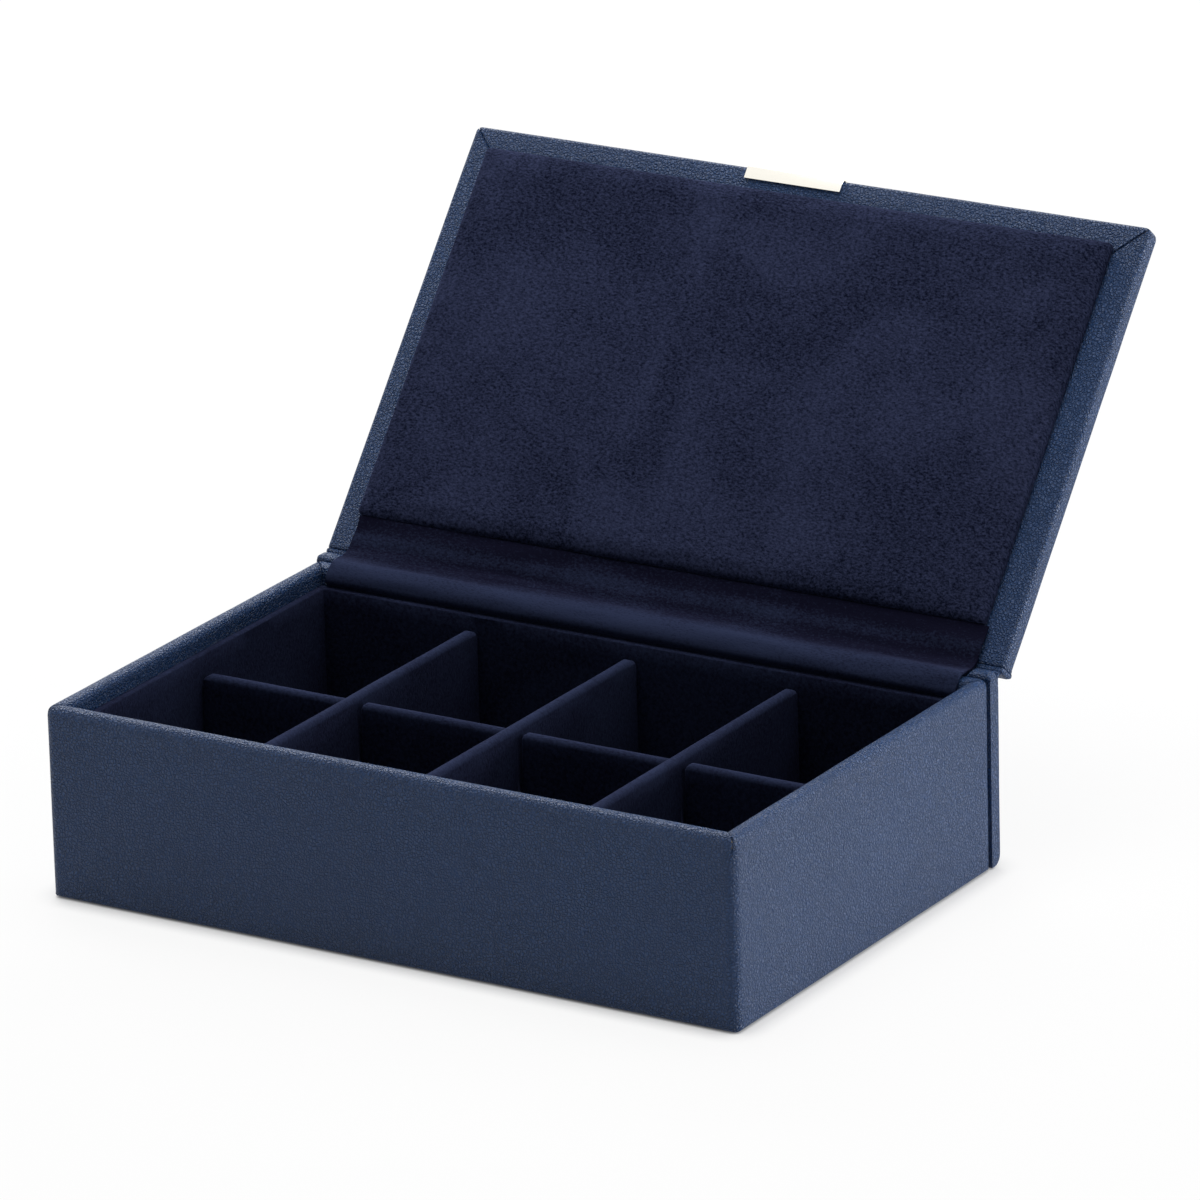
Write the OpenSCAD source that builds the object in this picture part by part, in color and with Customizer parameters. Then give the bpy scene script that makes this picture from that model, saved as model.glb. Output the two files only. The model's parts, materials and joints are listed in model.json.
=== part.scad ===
// Cufflink display box: a leather-covered board tray with a suede-lined grid of
// compartments, and a padded lid on a soft leather joint, standing open.
// Units are millimetres. +Z is up, +Y is the back, and the origin is the centre
// of the tray's underside. The lid is drawn closed and then swung open.

/* [Tray] */
// Outside width of the tray
tray_w = 180; // [150:1:220]
// Outside depth of the tray, without the spine
tray_d = 113.4; // [95:0.1:140]
// Height from the rest face to the top of the rim
tray_h = 45.9; // [40:0.1:60]
// Thickness of the four wall boards
wall_board_t = 3; // [2.8:0.1:4]
// Thickness of the base board
base_board_t = 2.5; // [2:0.1:4]
// How far the underside sheet stands in from the tray's outline
underside_inset = 4; // [3:0.5:10]
// Thickness of the underside sheet
underside_t = 0.4; // [0.3:0.1:0.8]

/* [Covering] */
// Thickness of the leather
leather_t = 0.6; // [0.5:0.05:0.8]
// Rounding of the rim's outer edge
rim_round = 2.4; // [1:0.1:2.4]
// Rounding of the rim's inner edge
rim_inner_round = 1.4; // [0.7:0.1:1.4]
// Rounding of the back wall's inner top edge, which the suede rolls over
back_rim_round = 3; // [1.5:0.1:3]
// Rounding of the tray's upright corners and of the lid's front corners
corner_round = 1.8; // [1:0.1:2]
// How far the leather is turned down inside the rim
turn_in = 8; // [6:0.5:12]
// How far the leather is turned in under the base
turn_under = 15; // [8:1:25]

/* [Lining] */
// Thickness of the lining cards
card_t = 1; // [0.8:0.1:1.4]
// Thickness of the suede
suede_t = 0.7; // [0.5:0.05:0.9]
// Distance from the rim down to the top of the lining
lining_drop = 4.4; // [3:0.1:8]

/* [Dividers] */
// Thickness of a divider with its suede
divider_t = 3; // [2.6:0.1:4]
// Height of the cross dividers' tops above the rest face
cross_top = 38.4; // [34:0.1:40]
// Height of the long divider's top above the rest face
long_top = 36.9; // [32:0.1:38]
// Rounding of the dividers' upper corners
divider_corner = 2.5; // [1:0.1:4]
// How far the cross dividers sit right of the middle
divider_shift = -0.5; // [-1:0.1:1]
// Room beside a cross divider in the long divider's slot, on its right
slot_gap = 1; // [0.2:0.1:1.5]

/* [Spine] */
// Thickness of the spine with its leather
spine_t = 3.6; // [3:0.1:5]
// Rounding of the spine's lower back edge
spine_foot_round = 2.5; // [1.5:0.1:3]

/* [Lid] */
// Width of the lid
lid_w = 181.2; // [150:0.1:222]
// Length of the lid from its back edge to its front edge
lid_l = 110.8; // [92:0.1:138]
// Thickness of the lid with its leather
lid_t = 5.3; // [4.5:0.1:7]
// Rounding of the lid's outer edges
lid_round = 1.4; // [0.8:0.1:1.6]
// Rounding of the lid's inner edges
lid_inner_round = 0.9; // [0.5:0.1:1.2]
// Rounding of the lid's outer back edge, which the joint's leather goes round
lid_back_round = 2; // [1:0.1:2]
// Angle between the closed lid and the lid as it stands open
open_angle = 130.3; // [125:0.1:134]

/* [Hinge] */
// Height of the hinge line above the rest face
hinge_z = 44.6; // [44.4:0.1:44.8]
// Distance from the tray's back face to the hinge line, towards the back
hinge_back = 0.5; // [0.3:0.1:0.7]
// Distance from the hinge line forward to the closed lid's back edge
lid_edge_back = 4.1; // [4:0.1:4.3]
// Height of the closed lid's inner face above the hinge line
lid_face_up = 2.1; // [2:0.1:2.2]
// Thickness of the suede strip inside the joint
strip_t = 0.5; // [0.4:0.05:0.6]
// Width of the suede strip
strip_w = 168; // [140:1:169]
// Radius of the sweep of the suede between the rim and the open lid
sweep_r = 8; // [3:0.5:8]
// Mid-line radius of the leather's fold at the top of the spine
fold_r = 1.2; // [1.1:0.05:1.3]
// Height of the rolls in which the joint's leather ends above the spine
roll_h = 0.95; // [0.6:0.05:1.2]

/* [Lid pad] */
// Width of the pad
pad_w = 168; // [140:1:168]
// How far the pad sits right of the lid's middle
pad_shift = -0.9; // [-1:0.1:0]
// Distance from the lid's back edge to the pad
pad_back = 9.8; // [8:0.1:14]
// Distance from the lid's front edge to the pad
pad_front = 5.6; // [5.6:0.1:10]
// Thickness of the pad at its edge, with its suede
pad_t = 2.3; // [2:0.1:3]
// How much higher the pad is in its middle
pad_crown = 0.6; // [0:0.1:1]
// How far the pad's sides are drawn in between its corners
pad_draw = 0.3; // [0:0.1:0.6]

/* [Opening clip] */
// Width of the clip
clip_w = 25.7; // [15:0.1:40]
// How far the clip sits right of the lid's middle
clip_shift = -3; // [-10:0.1:10]
// Thickness of the clip's metal
clip_t = 0.6; // [0.4:0.05:0.7]
// Length of the clip's inner leg
clip_inner = 3.2; // [2:0.1:4]
// Length of the clip's outer leg
clip_outer = 6; // [3:0.1:12]

/* [Hidden] */
$fn = 48;
slack = 0.2;                                  // room round a pushed-in piece
over = 1;                                     // how far a cutter overshoots
navy = [0.14, 0.19, 0.3];
navy_suede = [0.12, 0.14, 0.25];
board_grey = [0.55, 0.52, 0.48];
card_grey = [0.7, 0.68, 0.62];

wall_t = wall_board_t + 2 * leather_t;        // a covered wall
lining_t = card_t + suede_t;
skin_z = underside_t;                         // bottom of the turned-under leather
board_z = underside_t + leather_t;            // bottom of the boards
base_top = board_z + base_board_t;
floor_top = base_top + lining_t;
lining_top = tray_h - lining_drop;
cell_x = tray_w / 2 - wall_t - lining_t;      // half width inside the lining
cell_front = -tray_d / 2 + wall_t + lining_t;
sheet_gap = 0.02;                             // between a soft sheet and what it goes round
cell_back = tray_d / 2 - wall_t - strip_t - 2 * sheet_gap - lining_t;
long_y = (cell_front + cell_back) / 2;
cross_pitch = (2 * cell_x + divider_t) / 4;
slot_z = (floor_top + cross_top) / 2;         // where the halved dividers meet

hinge_y = tray_d / 2 + hinge_back;
lean = 180 - open_angle;                      // slope of the open lid
up_lid = [cos(lean), sin(lean)];              // from the back edge to the front edge
lid_back = -lid_edge_back;                    // closed lid, measured from the hinge
lid_front = lid_back - lid_l;
face_z = lid_face_up;
outer_z = face_z + lid_t;
pad_l = lid_l - pad_back - pad_front;
spine_back = tray_d / 2 + spine_t;
joint_start = tray_h - 3;                     // where the spine's leather comes free
joint_lap = 2;                                // how far the joint reaches up the lid
mitre_depth = turn_under + 2;

// ---- shared shapes -------------------------------------------------------

// A rectangle from low to high whose four corners are rounded, in the order
// low-left, low-right, high-right, high-left.
module rounded_block(low, high, radii) {
    corners = [low, [high[0], low[1]], high, [low[0], high[1]]];
    inward = [[1, 1], [-1, 1], [-1, -1], [1, -1]];
    difference() {
        translate(low) square(high - low);
        for (i = [0 : 3])
            if (radii[i] > 0)
                translate(corners[i]) scale_sign(inward[i]) corner_cutter(radii[i]);
    }
}

// Turns a shape drawn in the first quadrant into the quadrant that signs names.
module scale_sign(signs) {
    mirror([signs[0] < 0 ? 1 : 0, 0]) mirror([0, signs[1] < 0 ? 1 : 0]) children();
}

// What a rounding of radius r removes from a corner at the origin.
module corner_cutter(r) {
    difference() {
        translate([-over, -over]) square(r + over);
        translate([r, r]) circle(r);
    }
}

// Points along an arc.
function arc(centre, r, from, to, steps = 8) = [
    for (i = [0 : steps])
        centre + r * [cos(from + (to - from) * i / steps), sin(from + (to - from) * i / steps)]
];

function unit(v) = v / norm(v);
function heading(path, i) = unit(path[min(i + 1, len(path) - 1)] - path[max(i - 1, 0)]);
function beside(path, offset) = [
    for (i = [0 : len(path) - 1])
        let (h = heading(path, i)) path[i] + offset * [-h[1], h[0]]
];
function reversed(list) = [for (i = [len(list) - 1 : -1 : 0]) list[i]];

// A band of even thickness along a path.
module band(path, thickness) {
    polygon(concat(beside(path, thickness / 2), reversed(beside(path, -thickness / 2))));
}

// Extrudes a profile drawn in (y, z) along X, centred.
module along_x(length) {
    translate([-length / 2, 0, 0]) rotate([90, 0, 90]) linear_extrude(length) children();
}

// Extrudes a profile drawn in (x, z) along Y, centred.
module along_y(length) {
    translate([0, length / 2, 0]) rotate([90, 0, 0]) linear_extrude(length) children();
}

// Swings a point of the closed lid, measured from the hinge line, to where it
// lies in (y, z) when the lid stands open.
function swung(y, z) = [
    hinge_y + y * cos(open_angle) + z * sin(open_angle),
    hinge_z - y * sin(open_angle) + z * cos(open_angle)
];

// Places what is drawn as closed, measured from the hinge line, on the open lid.
module on_lid() {
    translate([0, hinge_y, hinge_z]) rotate([-open_angle, 0, 0]) children();
}

// ---- tray ----------------------------------------------------------------

// What the wall boards are cut from: a block as large as the tray without its
// leather, rounded along the rim's front and sides and at the upright corners.
module board_stock() {
    half = [tray_w / 2 - leather_t, tray_d / 2 - leather_t];
    top = tray_h - leather_t;
    rim_r = rim_round - leather_t;
    plan_r = corner_round - leather_t;
    intersection() {
        along_x(tray_w) rounded_block([-half[1], board_z], [half[1], top], [0, 0, 0, rim_r]);
        along_y(tray_d) rounded_block([-half[0], board_z], [half[0], top], [0, 0, rim_r, rim_r]);
        linear_extrude(tray_h) rounded_block(-half, half, plan_r * [1, 1, 1, 1]);
    }
}

module wall_board_x(side) {
    y = side * (tray_d / 2 - leather_t - wall_board_t / 2);
    translate([-tray_w / 2, y - wall_board_t / 2, board_z])
        cube([tray_w, wall_board_t, tray_h]);
}

module wall_board_y(side) {
    length = tray_d - 2 * leather_t - 2 * wall_board_t;
    x = side * (tray_w / 2 - leather_t - wall_board_t / 2);
    translate([x - wall_board_t / 2, -length / 2, board_z])
        cube([wall_board_t, length, tray_h]);
}

// The back board's inner top edge is rounded, so that the suede can roll over it.
module back_board_edge() {
    r = back_rim_round - leather_t;
    translate([0, tray_d / 2 - leather_t - wall_board_t, tray_h - leather_t])
        mirror([0, 0, 1]) along_x(tray_w) corner_cutter(r);
}

module front_wall_board() {
    color(board_grey) intersection() {
        wall_board_x(-1);
        board_stock();
    }
}

module back_wall_board() {
    color(board_grey) difference() {
        intersection() {
            wall_board_x(1);
            board_stock();
        }
        back_board_edge();
    }
}

module side_wall_board(side) {
    color(board_grey) intersection() {
        wall_board_y(side);
        board_stock();
    }
}

module left_wall_board() side_wall_board(-1);
module right_wall_board() side_wall_board(1);

module base_board() {
    w = tray_w - 2 * (leather_t + wall_board_t);
    d = tray_d - 2 * (leather_t + wall_board_t);
    color(board_grey) translate([-w / 2, -d / 2, board_z]) cube([w, d, base_board_t]);
}

// The leather of one wall in section, from the outer face inwards: up the
// outside, over the rim, down inside it and in under the base. The boards are
// cut out of it afterwards.
module tray_leather_profile(inner_r, outer_r) {
    difference() {
        union() {
            rounded_block([0, skin_z], [wall_t, tray_h], [leather_t, 0, inner_r, outer_r]);
            translate([leather_t, skin_z]) square([turn_under - leather_t, leather_t]);
        }
        translate([leather_t + wall_board_t / 2, board_z])
            square([wall_t, tray_h - turn_in - board_z]);
    }
}

// The four walls' leather, meeting in mitres at the corners.
module tray_leather_walls() {
    half = [tray_w / 2, tray_d / 2];
    near = half - [mitre_depth, mitre_depth];
    front_part = [-half, [half[0], -half[1]], [near[0], -near[1]], -near];
    side_part = [-half, -near, [-near[0], near[1]], [-half[0], half[1]]];
    intersection() {
        translate([0, -half[1], 0]) along_x(tray_w)
            tray_leather_profile(rim_inner_round, rim_round);
        linear_extrude(tray_h) polygon(front_part);
    }
    mirror([0, 1, 0]) intersection() {
        translate([0, -half[1], 0]) along_x(tray_w)
            tray_leather_profile(back_rim_round, leather_t);
        linear_extrude(tray_h) polygon(front_part);
    }
    for (flip = [0, 1])
        mirror([flip, 0, 0]) intersection() {
            translate([-half[0], 0, 0]) along_y(tray_d)
                tray_leather_profile(rim_inner_round, rim_round);
            linear_extrude(tray_h) polygon(side_part);
        }
}

module tray_leather() {
    half = [tray_w / 2, tray_d / 2];
    color(navy) difference() {
        intersection() {
            tray_leather_walls();
            linear_extrude(tray_h) rounded_block(-half, half, corner_round * [1, 1, 1, 1]);
        }
        front_wall_board();
        back_wall_board();
        left_wall_board();
        right_wall_board();
    }
}

module underside_sheet() {
    w = tray_w - 2 * underside_inset;
    d = tray_d - 2 * underside_inset;
    color(navy) translate([-w / 2, -d / 2, 0]) cube([w, d, underside_t]);
}

// ---- lining --------------------------------------------------------------

// A wall lining in section, from the wall inwards: a card with suede over its
// face and its top edge.
module lining_card_profile() {
    translate([0, base_top]) square([card_t, lining_top - suede_t - base_top]);
}

module lining_suede_profile() {
    difference() {
        rounded_block([0, base_top], [lining_t, lining_top], [0, 0, suede_t, suede_t / 2]);
        lining_card_profile();
    }
}

module front_lining() {
    translate([0, cell_front - lining_t, 0]) along_x(tray_w - 2 * wall_t) children();
}

module back_lining() {
    translate([0, cell_back + lining_t, 0]) mirror([0, 1, 0])
        along_x(tray_w - 2 * wall_t) children();
}

// The side linings stand between the front and the back ones.
module left_lining() {
    translate([-cell_x - lining_t, (cell_front + cell_back) / 2, 0])
        along_y(cell_back - cell_front) children();
}

module right_lining() {
    mirror([1, 0, 0]) left_lining() children();
}

module front_lining_card() color(card_grey) front_lining() lining_card_profile();
module back_lining_card() color(card_grey) back_lining() lining_card_profile();
module left_lining_card() color(card_grey) left_lining() lining_card_profile();
module right_lining_card() color(card_grey) right_lining() lining_card_profile();
module front_lining_suede() color(navy_suede) front_lining() lining_suede_profile();
module back_lining_suede() color(navy_suede) back_lining() lining_suede_profile();
module left_lining_suede() color(navy_suede) left_lining() lining_suede_profile();
module right_lining_suede() color(navy_suede) right_lining() lining_suede_profile();

module floor_layer(z, thickness) {
    translate([-cell_x, cell_front, z])
        cube([2 * cell_x, cell_back - cell_front, thickness]);
}

module floor_card() color(card_grey) floor_layer(base_top, card_t);
module floor_suede() color(navy_suede) floor_layer(base_top + card_t, suede_t);

// ---- dividers ------------------------------------------------------------

// A plate standing on the floor along X: rounded over its top edge and at its
// upper corners. inset shrinks it evenly, for the card inside the suede.
module divider_plate(length, top, inset) {
    half_t = divider_t / 2 - inset;
    half_l = length / 2 - slack;
    intersection() {
        along_x(length)
            rounded_block([-half_t, floor_top], [half_t, top - inset], [0, 0, half_t, half_t]);
        rotate([90, 0, 0]) translate([0, 0, -divider_t])
            linear_extrude(2 * divider_t)
                rounded_block([-half_l, floor_top], [half_l, top - inset],
                    [0, 0, divider_corner, divider_corner]);
    }
}

// The long divider is slotted from its top for the cross dividers.
module long_divider(inset) {
    translate([0, long_y, 0]) difference() {
        divider_plate(2 * cell_x, long_top, inset);
        for (i = [-1 : 1])
            translate([i * cross_pitch + divider_shift - divider_t / 2 - slack,
                    -divider_t, slot_z])
                cube([divider_t + slack + slot_gap, 2 * divider_t, cross_top]);
    }
}

// A cross divider is slotted from its foot for the long divider.
module cross_divider(index, inset) {
    slot_w = divider_t + 2 * slack;
    translate([index * cross_pitch + divider_shift, long_y, 0]) difference() {
        rotate([0, 0, 90]) divider_plate(cell_back - cell_front, cross_top, inset);
        translate([-divider_t, -slot_w / 2, floor_top - over])
            cube([2 * divider_t, slot_w, slot_z - floor_top + over]);
    }
}

module long_divider_card() color(card_grey) long_divider(suede_t);
module long_divider_suede() {
    color(navy_suede) difference() {
        long_divider(0);
        long_divider(suede_t);
    }
}

module cross_divider_suede(index) {
    color(navy_suede) difference() {
        cross_divider(index, 0);
        cross_divider(index, suede_t);
    }
}

module left_divider_card() color(card_grey) cross_divider(-1, suede_t);
module middle_divider_card() color(card_grey) cross_divider(0, suede_t);
module right_divider_card() color(card_grey) cross_divider(1, suede_t);
module left_divider_suede() cross_divider_suede(-1);
module middle_divider_suede() cross_divider_suede(0);
module right_divider_suede() cross_divider_suede(1);

// ---- spine and joint -----------------------------------------------------

module spine_profile(inset) {
    foot = spine_foot_round - inset;
    rounded_block([tray_d / 2 + inset, skin_z + inset], [spine_back - inset, tray_h - inset],
        inset > 0 ? [0, foot, 0, 0] : [inset, foot, inset, leather_t]);
}

module spine_board() {
    color(board_grey) along_x(tray_w - 2 * leather_t) spine_profile(leather_t);
}

// The spine's leather stops short at the top of its back, where the joint's
// leather comes free of the board.
module spine_leather() {
    color(navy) difference() {
        along_x(tray_w) spine_profile(0);
        along_x(tray_w - 2 * leather_t) spine_profile(leather_t);
        translate([-tray_w, spine_back - leather_t, joint_start])
            cube([2 * tray_w, spine_t, tray_h]);
    }
}

// The joint's leather from the top of the spine's back: over in a small fold,
// down the lid's back edge and round it to the lid's outer face.
joint_line_y = spine_back - leather_t / 2;
joint_on_edge = swung(lid_back + leather_t / 2, face_z);
fold_y = joint_line_y + fold_r;
fold_z = joint_on_edge[1]
    - (fold_r + (fold_y - joint_on_edge[0]) * up_lid[0]) / up_lid[1];
lid_turn = swung(lid_back + leather_t - lid_back_round, outer_z - lid_back_round);
joint_path = concat(
    [[joint_line_y, joint_start]],
    arc([fold_y, fold_z], fold_r, 180, lean, 12),
    arc(lid_turn, lid_back_round - leather_t / 2 + sheet_gap, -open_angle, 90 - open_angle),
    [swung(lid_back - joint_lap + sheet_gap, outer_z - leather_t / 2 + sheet_gap)]);

// Beside the suede strip the joint's leather is turned over into a short roll,
// which lies on the spine against the fold.
roll_w = (tray_w - strip_w) / 2 - 2 * slack;

module joint_roll() {
    roll_r = roll_h * 0.9;
    along_x(roll_w)
        rounded_block([tray_d / 2 + slack, tray_h], [fold_y, tray_h + roll_h],
            [0, 0, roll_r, roll_r]);
}

module hinge_leather() {
    color(navy) {
        along_x(tray_w) band(joint_path, leather_t);
        for (side = [-1, 1])
            translate([side * (tray_w - roll_w) / 2, 0, 0]) joint_roll();
    }
}

// The suede strip: up behind the back lining, over the rim, and in a shallow
// sweep up the lid's inner face to the pad.
strip_lift = strip_t / 2 + sheet_gap;
strip_z = tray_h + strip_lift;
strip_on_lid = swung(lid_back, face_z - strip_lift);
sweep_tangent = sweep_r * tan(lean / 2);
strip_meet_y = strip_on_lid[0] + (strip_z - strip_on_lid[1]) * up_lid[0] / up_lid[1];
strip_path = concat(
    [[tray_d / 2 - wall_t - strip_lift, tray_h - turn_in]],
    arc([tray_d / 2 - wall_t + back_rim_round, tray_h - back_rim_round],
        back_rim_round + strip_lift, 180, 90),
    arc([strip_meet_y - sweep_tangent, strip_z + sweep_r], sweep_r, -90, -90 + lean),
    [strip_on_lid + (pad_back - slack) * up_lid]);

module hinge_suede() color(navy_suede) along_x(strip_w) band(strip_path, strip_t);

// ---- lid -----------------------------------------------------------------

// The closed lid's slab, rounded along its edges. inset gives the board.
module lid_slab(inset) {
    outer_r = inset > 0 ? 0 : lid_round;
    inner_r = inset > 0 ? 0 : lid_inner_round;
    back_r = lid_back_round - inset;
    radii = [inner_r, inner_r, outer_r, outer_r];
    middle = (lid_back + lid_front) / 2;
    intersection() {
        translate([0, middle, 0]) along_y(lid_l)
            rounded_block([-lid_w / 2 + inset, face_z + inset],
                [lid_w / 2 - inset, outer_z - inset], radii);
        along_x(lid_w)
            rounded_block([lid_front + inset, face_z + inset],
                [lid_back, outer_z - inset], [inner_r, 0, back_r, outer_r]);
        linear_extrude(outer_z + over)
            rounded_block([-lid_w / 2 + inset, lid_front + inset], [lid_w / 2 - inset, lid_back],
                (corner_round - inset) * [1, 1, 0, 0]);
    }
}

module lid_board() color(board_grey) on_lid() lid_slab(leather_t);

// The leather covers the outer face, goes round three edges and is turned in
// under the pad. The joint's leather takes over at the back.
module lid_leather() {
    window_w = lid_w - 2 * turn_under;
    color(navy) on_lid() difference() {
        lid_slab(0);
        lid_slab(leather_t);
        translate([-window_w / 2, lid_front + turn_under, face_z - over])
            cube([window_w, lid_l, over + leather_t * 1.5]);
        translate([-tray_w / 2, lid_back - joint_lap, outer_z - lid_back_round])
            cube([tray_w, joint_lap + over, lid_t]);
    }
}

// The pad is a loft of outlines, each with its distance in from the edge and
// its height. Round its corners the outline has arcs, and between them its
// sides are drawn in.
pad_corner = 1.4;
pad_side_steps = 6;

function drawn(t) = pad_draw * 4 * t * (1 - t);

// One side and the corner that follows it, running along +X before it is
// turned by angle. reach is half the side, out is its distance from the middle.
function pad_quarter(reach, out, angle, r, draw) = [
    for (p = concat(
        [for (i = [0 : pad_side_steps - 1])
            let (t = i / pad_side_steps)
            [(2 * t - 1) * (reach - r), -out + drawn(t) * draw]],
        arc([reach - r, -out + r], r, -90, 0, 3)))
        [p[0] * cos(angle) - p[1] * sin(angle), p[0] * sin(angle) + p[1] * cos(angle)]
];

function pad_outline(inset, fade) =
    let (w = pad_w / 2 - inset, l = pad_l / 2 - inset, r = max(pad_corner - inset, 0.6))
    concat(pad_quarter(w, l, 0, r, fade), pad_quarter(l, w, 90, r, fade),
        pad_quarter(w, l, 180, r, fade), pad_quarter(l, w, 270, r, fade));

// Distance in from the edge, height as a share of the edge's height, share of
// the crown, and share of the drawing-in, from the foot to the middle.
pad_rings = [[0, 0, 0, 1], [0, 0.55, 0, 1], [0.25, 0.8, 0, 1], [0.8, 0.96, 0, 1],
    [2.2, 1, 0.12, 0.9], [6, 1, 0.4, 0.7], [14, 1, 0.72, 0.4], [28, 1, 0.95, 0.1],
    [42, 1, 1, 0]];

module pad_form(inset, height) {
    outlines = [for (ring = pad_rings)
        let (z = height * ring[1] + pad_crown * ring[2])
        [for (p = pad_outline(inset + ring[0], ring[3])) [p[0], p[1], z]]];
    count = len(outlines[0]);
    rings = len(outlines);
    points = concat([for (o = outlines) each o],
        [[0, 0, 0], [0, 0, height + pad_crown]]);
    foot = count * rings;
    walls = [for (k = [0 : rings - 2], i = [0 : count - 1])
        let (a = k * count + i, b = k * count + (i + 1) % count)
        each [[a, a + count, b], [b, a + count, b + count]]];
    base = [for (i = [0 : count - 1]) [foot, i, (i + 1) % count]];
    top_row = (rings - 1) * count;
    cap = [for (i = [0 : count - 1])
        [foot + 1, top_row + (i + 1) % count, top_row + i]];
    polyhedron(points, concat(walls, base, cap));
}

// Places a pad layer drawn face up on the inner face of the closed lid.
module on_lid_face(lift) {
    on_lid() translate([pad_shift, lid_back - pad_back - pad_l / 2, face_z - lift])
        rotate([180, 0, 0]) children();
}

module pad_card() {
    inset = suede_t + pad_corner / 4;
    color(card_grey) on_lid_face(0)
        translate([-pad_w / 2 + inset, -pad_l / 2 + inset, 0])
            cube([pad_w - 2 * inset, pad_l - 2 * inset, card_t]);
}

module pad_foam() {
    color([0.8, 0.78, 0.7]) on_lid_face(0) difference() {
        pad_form(suede_t, pad_t - suede_t);
        translate([-pad_w, -pad_l, -over]) cube([2 * pad_w, 2 * pad_l, over + card_t]);
    }
}

module pad_suede() {
    inset = suede_t + pad_corner / 4;
    color(navy_suede) on_lid_face(0) difference() {
        pad_form(0, pad_t);
        difference() {
            pad_form(suede_t, pad_t - suede_t);
            translate([-pad_w, -pad_l, -over]) cube([2 * pad_w, 2 * pad_l, over + card_t]);
        }
        translate([-pad_w / 2 + inset, -pad_l / 2 + inset, -over])
            cube([pad_w - 2 * inset, pad_l - 2 * inset, over + card_t]);
    }
}

// A strip of metal bent over the lid's front edge.
clip_bend = clip_t / 2 + 0.4;
clip_y = lid_front - clip_t / 2;
clip_path = concat(
    [[lid_front + clip_inner, face_z - clip_t / 2]],
    arc([clip_y + clip_bend, face_z - clip_t / 2 + clip_bend], clip_bend, 270, 180),
    arc([clip_y + clip_bend, outer_z + clip_t / 2 - clip_bend], clip_bend, 180, 90),
    [[lid_front + clip_outer, outer_z + clip_t / 2]]);

module opening_clip() {
    color([0.82, 0.82, 0.78]) on_lid()
        translate([clip_shift, 0, 0]) along_x(clip_w) band(clip_path, clip_t);
}

base_board();
front_wall_board();
back_wall_board();
left_wall_board();
right_wall_board();
tray_leather();
underside_sheet();
floor_card();
front_lining_card();
back_lining_card();
left_lining_card();
right_lining_card();
floor_suede();
front_lining_suede();
back_lining_suede();
left_lining_suede();
right_lining_suede();
long_divider_card();
long_divider_suede();
left_divider_card();
left_divider_suede();
middle_divider_card();
middle_divider_suede();
right_divider_card();
right_divider_suede();
spine_board();
spine_leather();
hinge_leather();
hinge_suede();
lid_board();
lid_leather();
pad_card();
pad_foam();
pad_suede();
opening_clip();
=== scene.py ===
"""Cufflink display box: the looks of its leather, suede, boards and clip.

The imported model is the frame. Every piece below takes its place from the nodes
of that frame, in metres, with the lid standing open as the nodes have it.
"""
import json
import math

import bmesh
import bpy
from bpy.props import FloatProperty, FloatVectorProperty, PointerProperty
from bpy.types import Operator, Panel, PropertyGroup
from mathutils import Matrix, Vector


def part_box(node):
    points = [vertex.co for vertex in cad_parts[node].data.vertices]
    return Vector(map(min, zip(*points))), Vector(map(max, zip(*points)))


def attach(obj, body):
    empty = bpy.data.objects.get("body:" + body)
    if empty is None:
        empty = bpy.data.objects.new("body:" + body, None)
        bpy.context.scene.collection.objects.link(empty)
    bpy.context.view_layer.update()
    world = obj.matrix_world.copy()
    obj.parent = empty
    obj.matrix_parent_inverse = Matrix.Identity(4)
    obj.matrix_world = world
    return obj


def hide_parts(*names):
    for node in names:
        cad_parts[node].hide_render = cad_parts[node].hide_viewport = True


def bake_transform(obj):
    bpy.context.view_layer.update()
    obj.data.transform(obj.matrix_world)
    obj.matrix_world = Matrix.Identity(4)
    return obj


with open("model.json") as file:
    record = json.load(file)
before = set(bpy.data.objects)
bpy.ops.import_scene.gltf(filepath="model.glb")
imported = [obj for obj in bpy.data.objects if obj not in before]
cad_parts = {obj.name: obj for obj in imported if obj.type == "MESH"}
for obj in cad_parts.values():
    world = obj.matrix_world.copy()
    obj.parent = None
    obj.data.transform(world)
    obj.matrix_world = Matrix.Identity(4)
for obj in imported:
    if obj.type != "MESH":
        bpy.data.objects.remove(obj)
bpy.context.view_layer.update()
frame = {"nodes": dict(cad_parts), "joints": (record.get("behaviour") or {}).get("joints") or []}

bl_info = {
    "name": "Cufflink display box",
    "version": (1, 0, 0),
    "blender": (4, 5, 0),
    "location": "View3D > Sidebar > Cufflink Box",
    "description": "Dresses the frame of a cufflink box in leather, suede and metal",
    "category": "Add Mesh",
}

MM = 0.001

# ---- places taken from the frame ------------------------------------------

LID_JOINT = frame["joints"][0]
HINGE = Vector(LID_JOINT["pos_m"])
OPEN_ANGLE = math.radians(LID_JOINT["range_deg"][1])
TO_OPEN = (
    Matrix.Translation(HINGE)
    @ Matrix.Rotation(-OPEN_ANGLE, 4, "X")
    @ Matrix.Translation(-HINGE)
)
TO_CLOSED = TO_OPEN.inverted()


def open_box(node):
    """The lowest and highest corners of a node as it stands in the frame."""
    return [Vector(corner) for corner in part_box(node)]


def closed_box(node):
    """The lowest and highest corners of a lid node with the lid closed."""
    places = [TO_CLOSED @ v.co for v in frame["nodes"][node].data.vertices]
    return [Vector(pick(p[i] for p in places) for i in range(3)) for pick in (min, max)]


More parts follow.
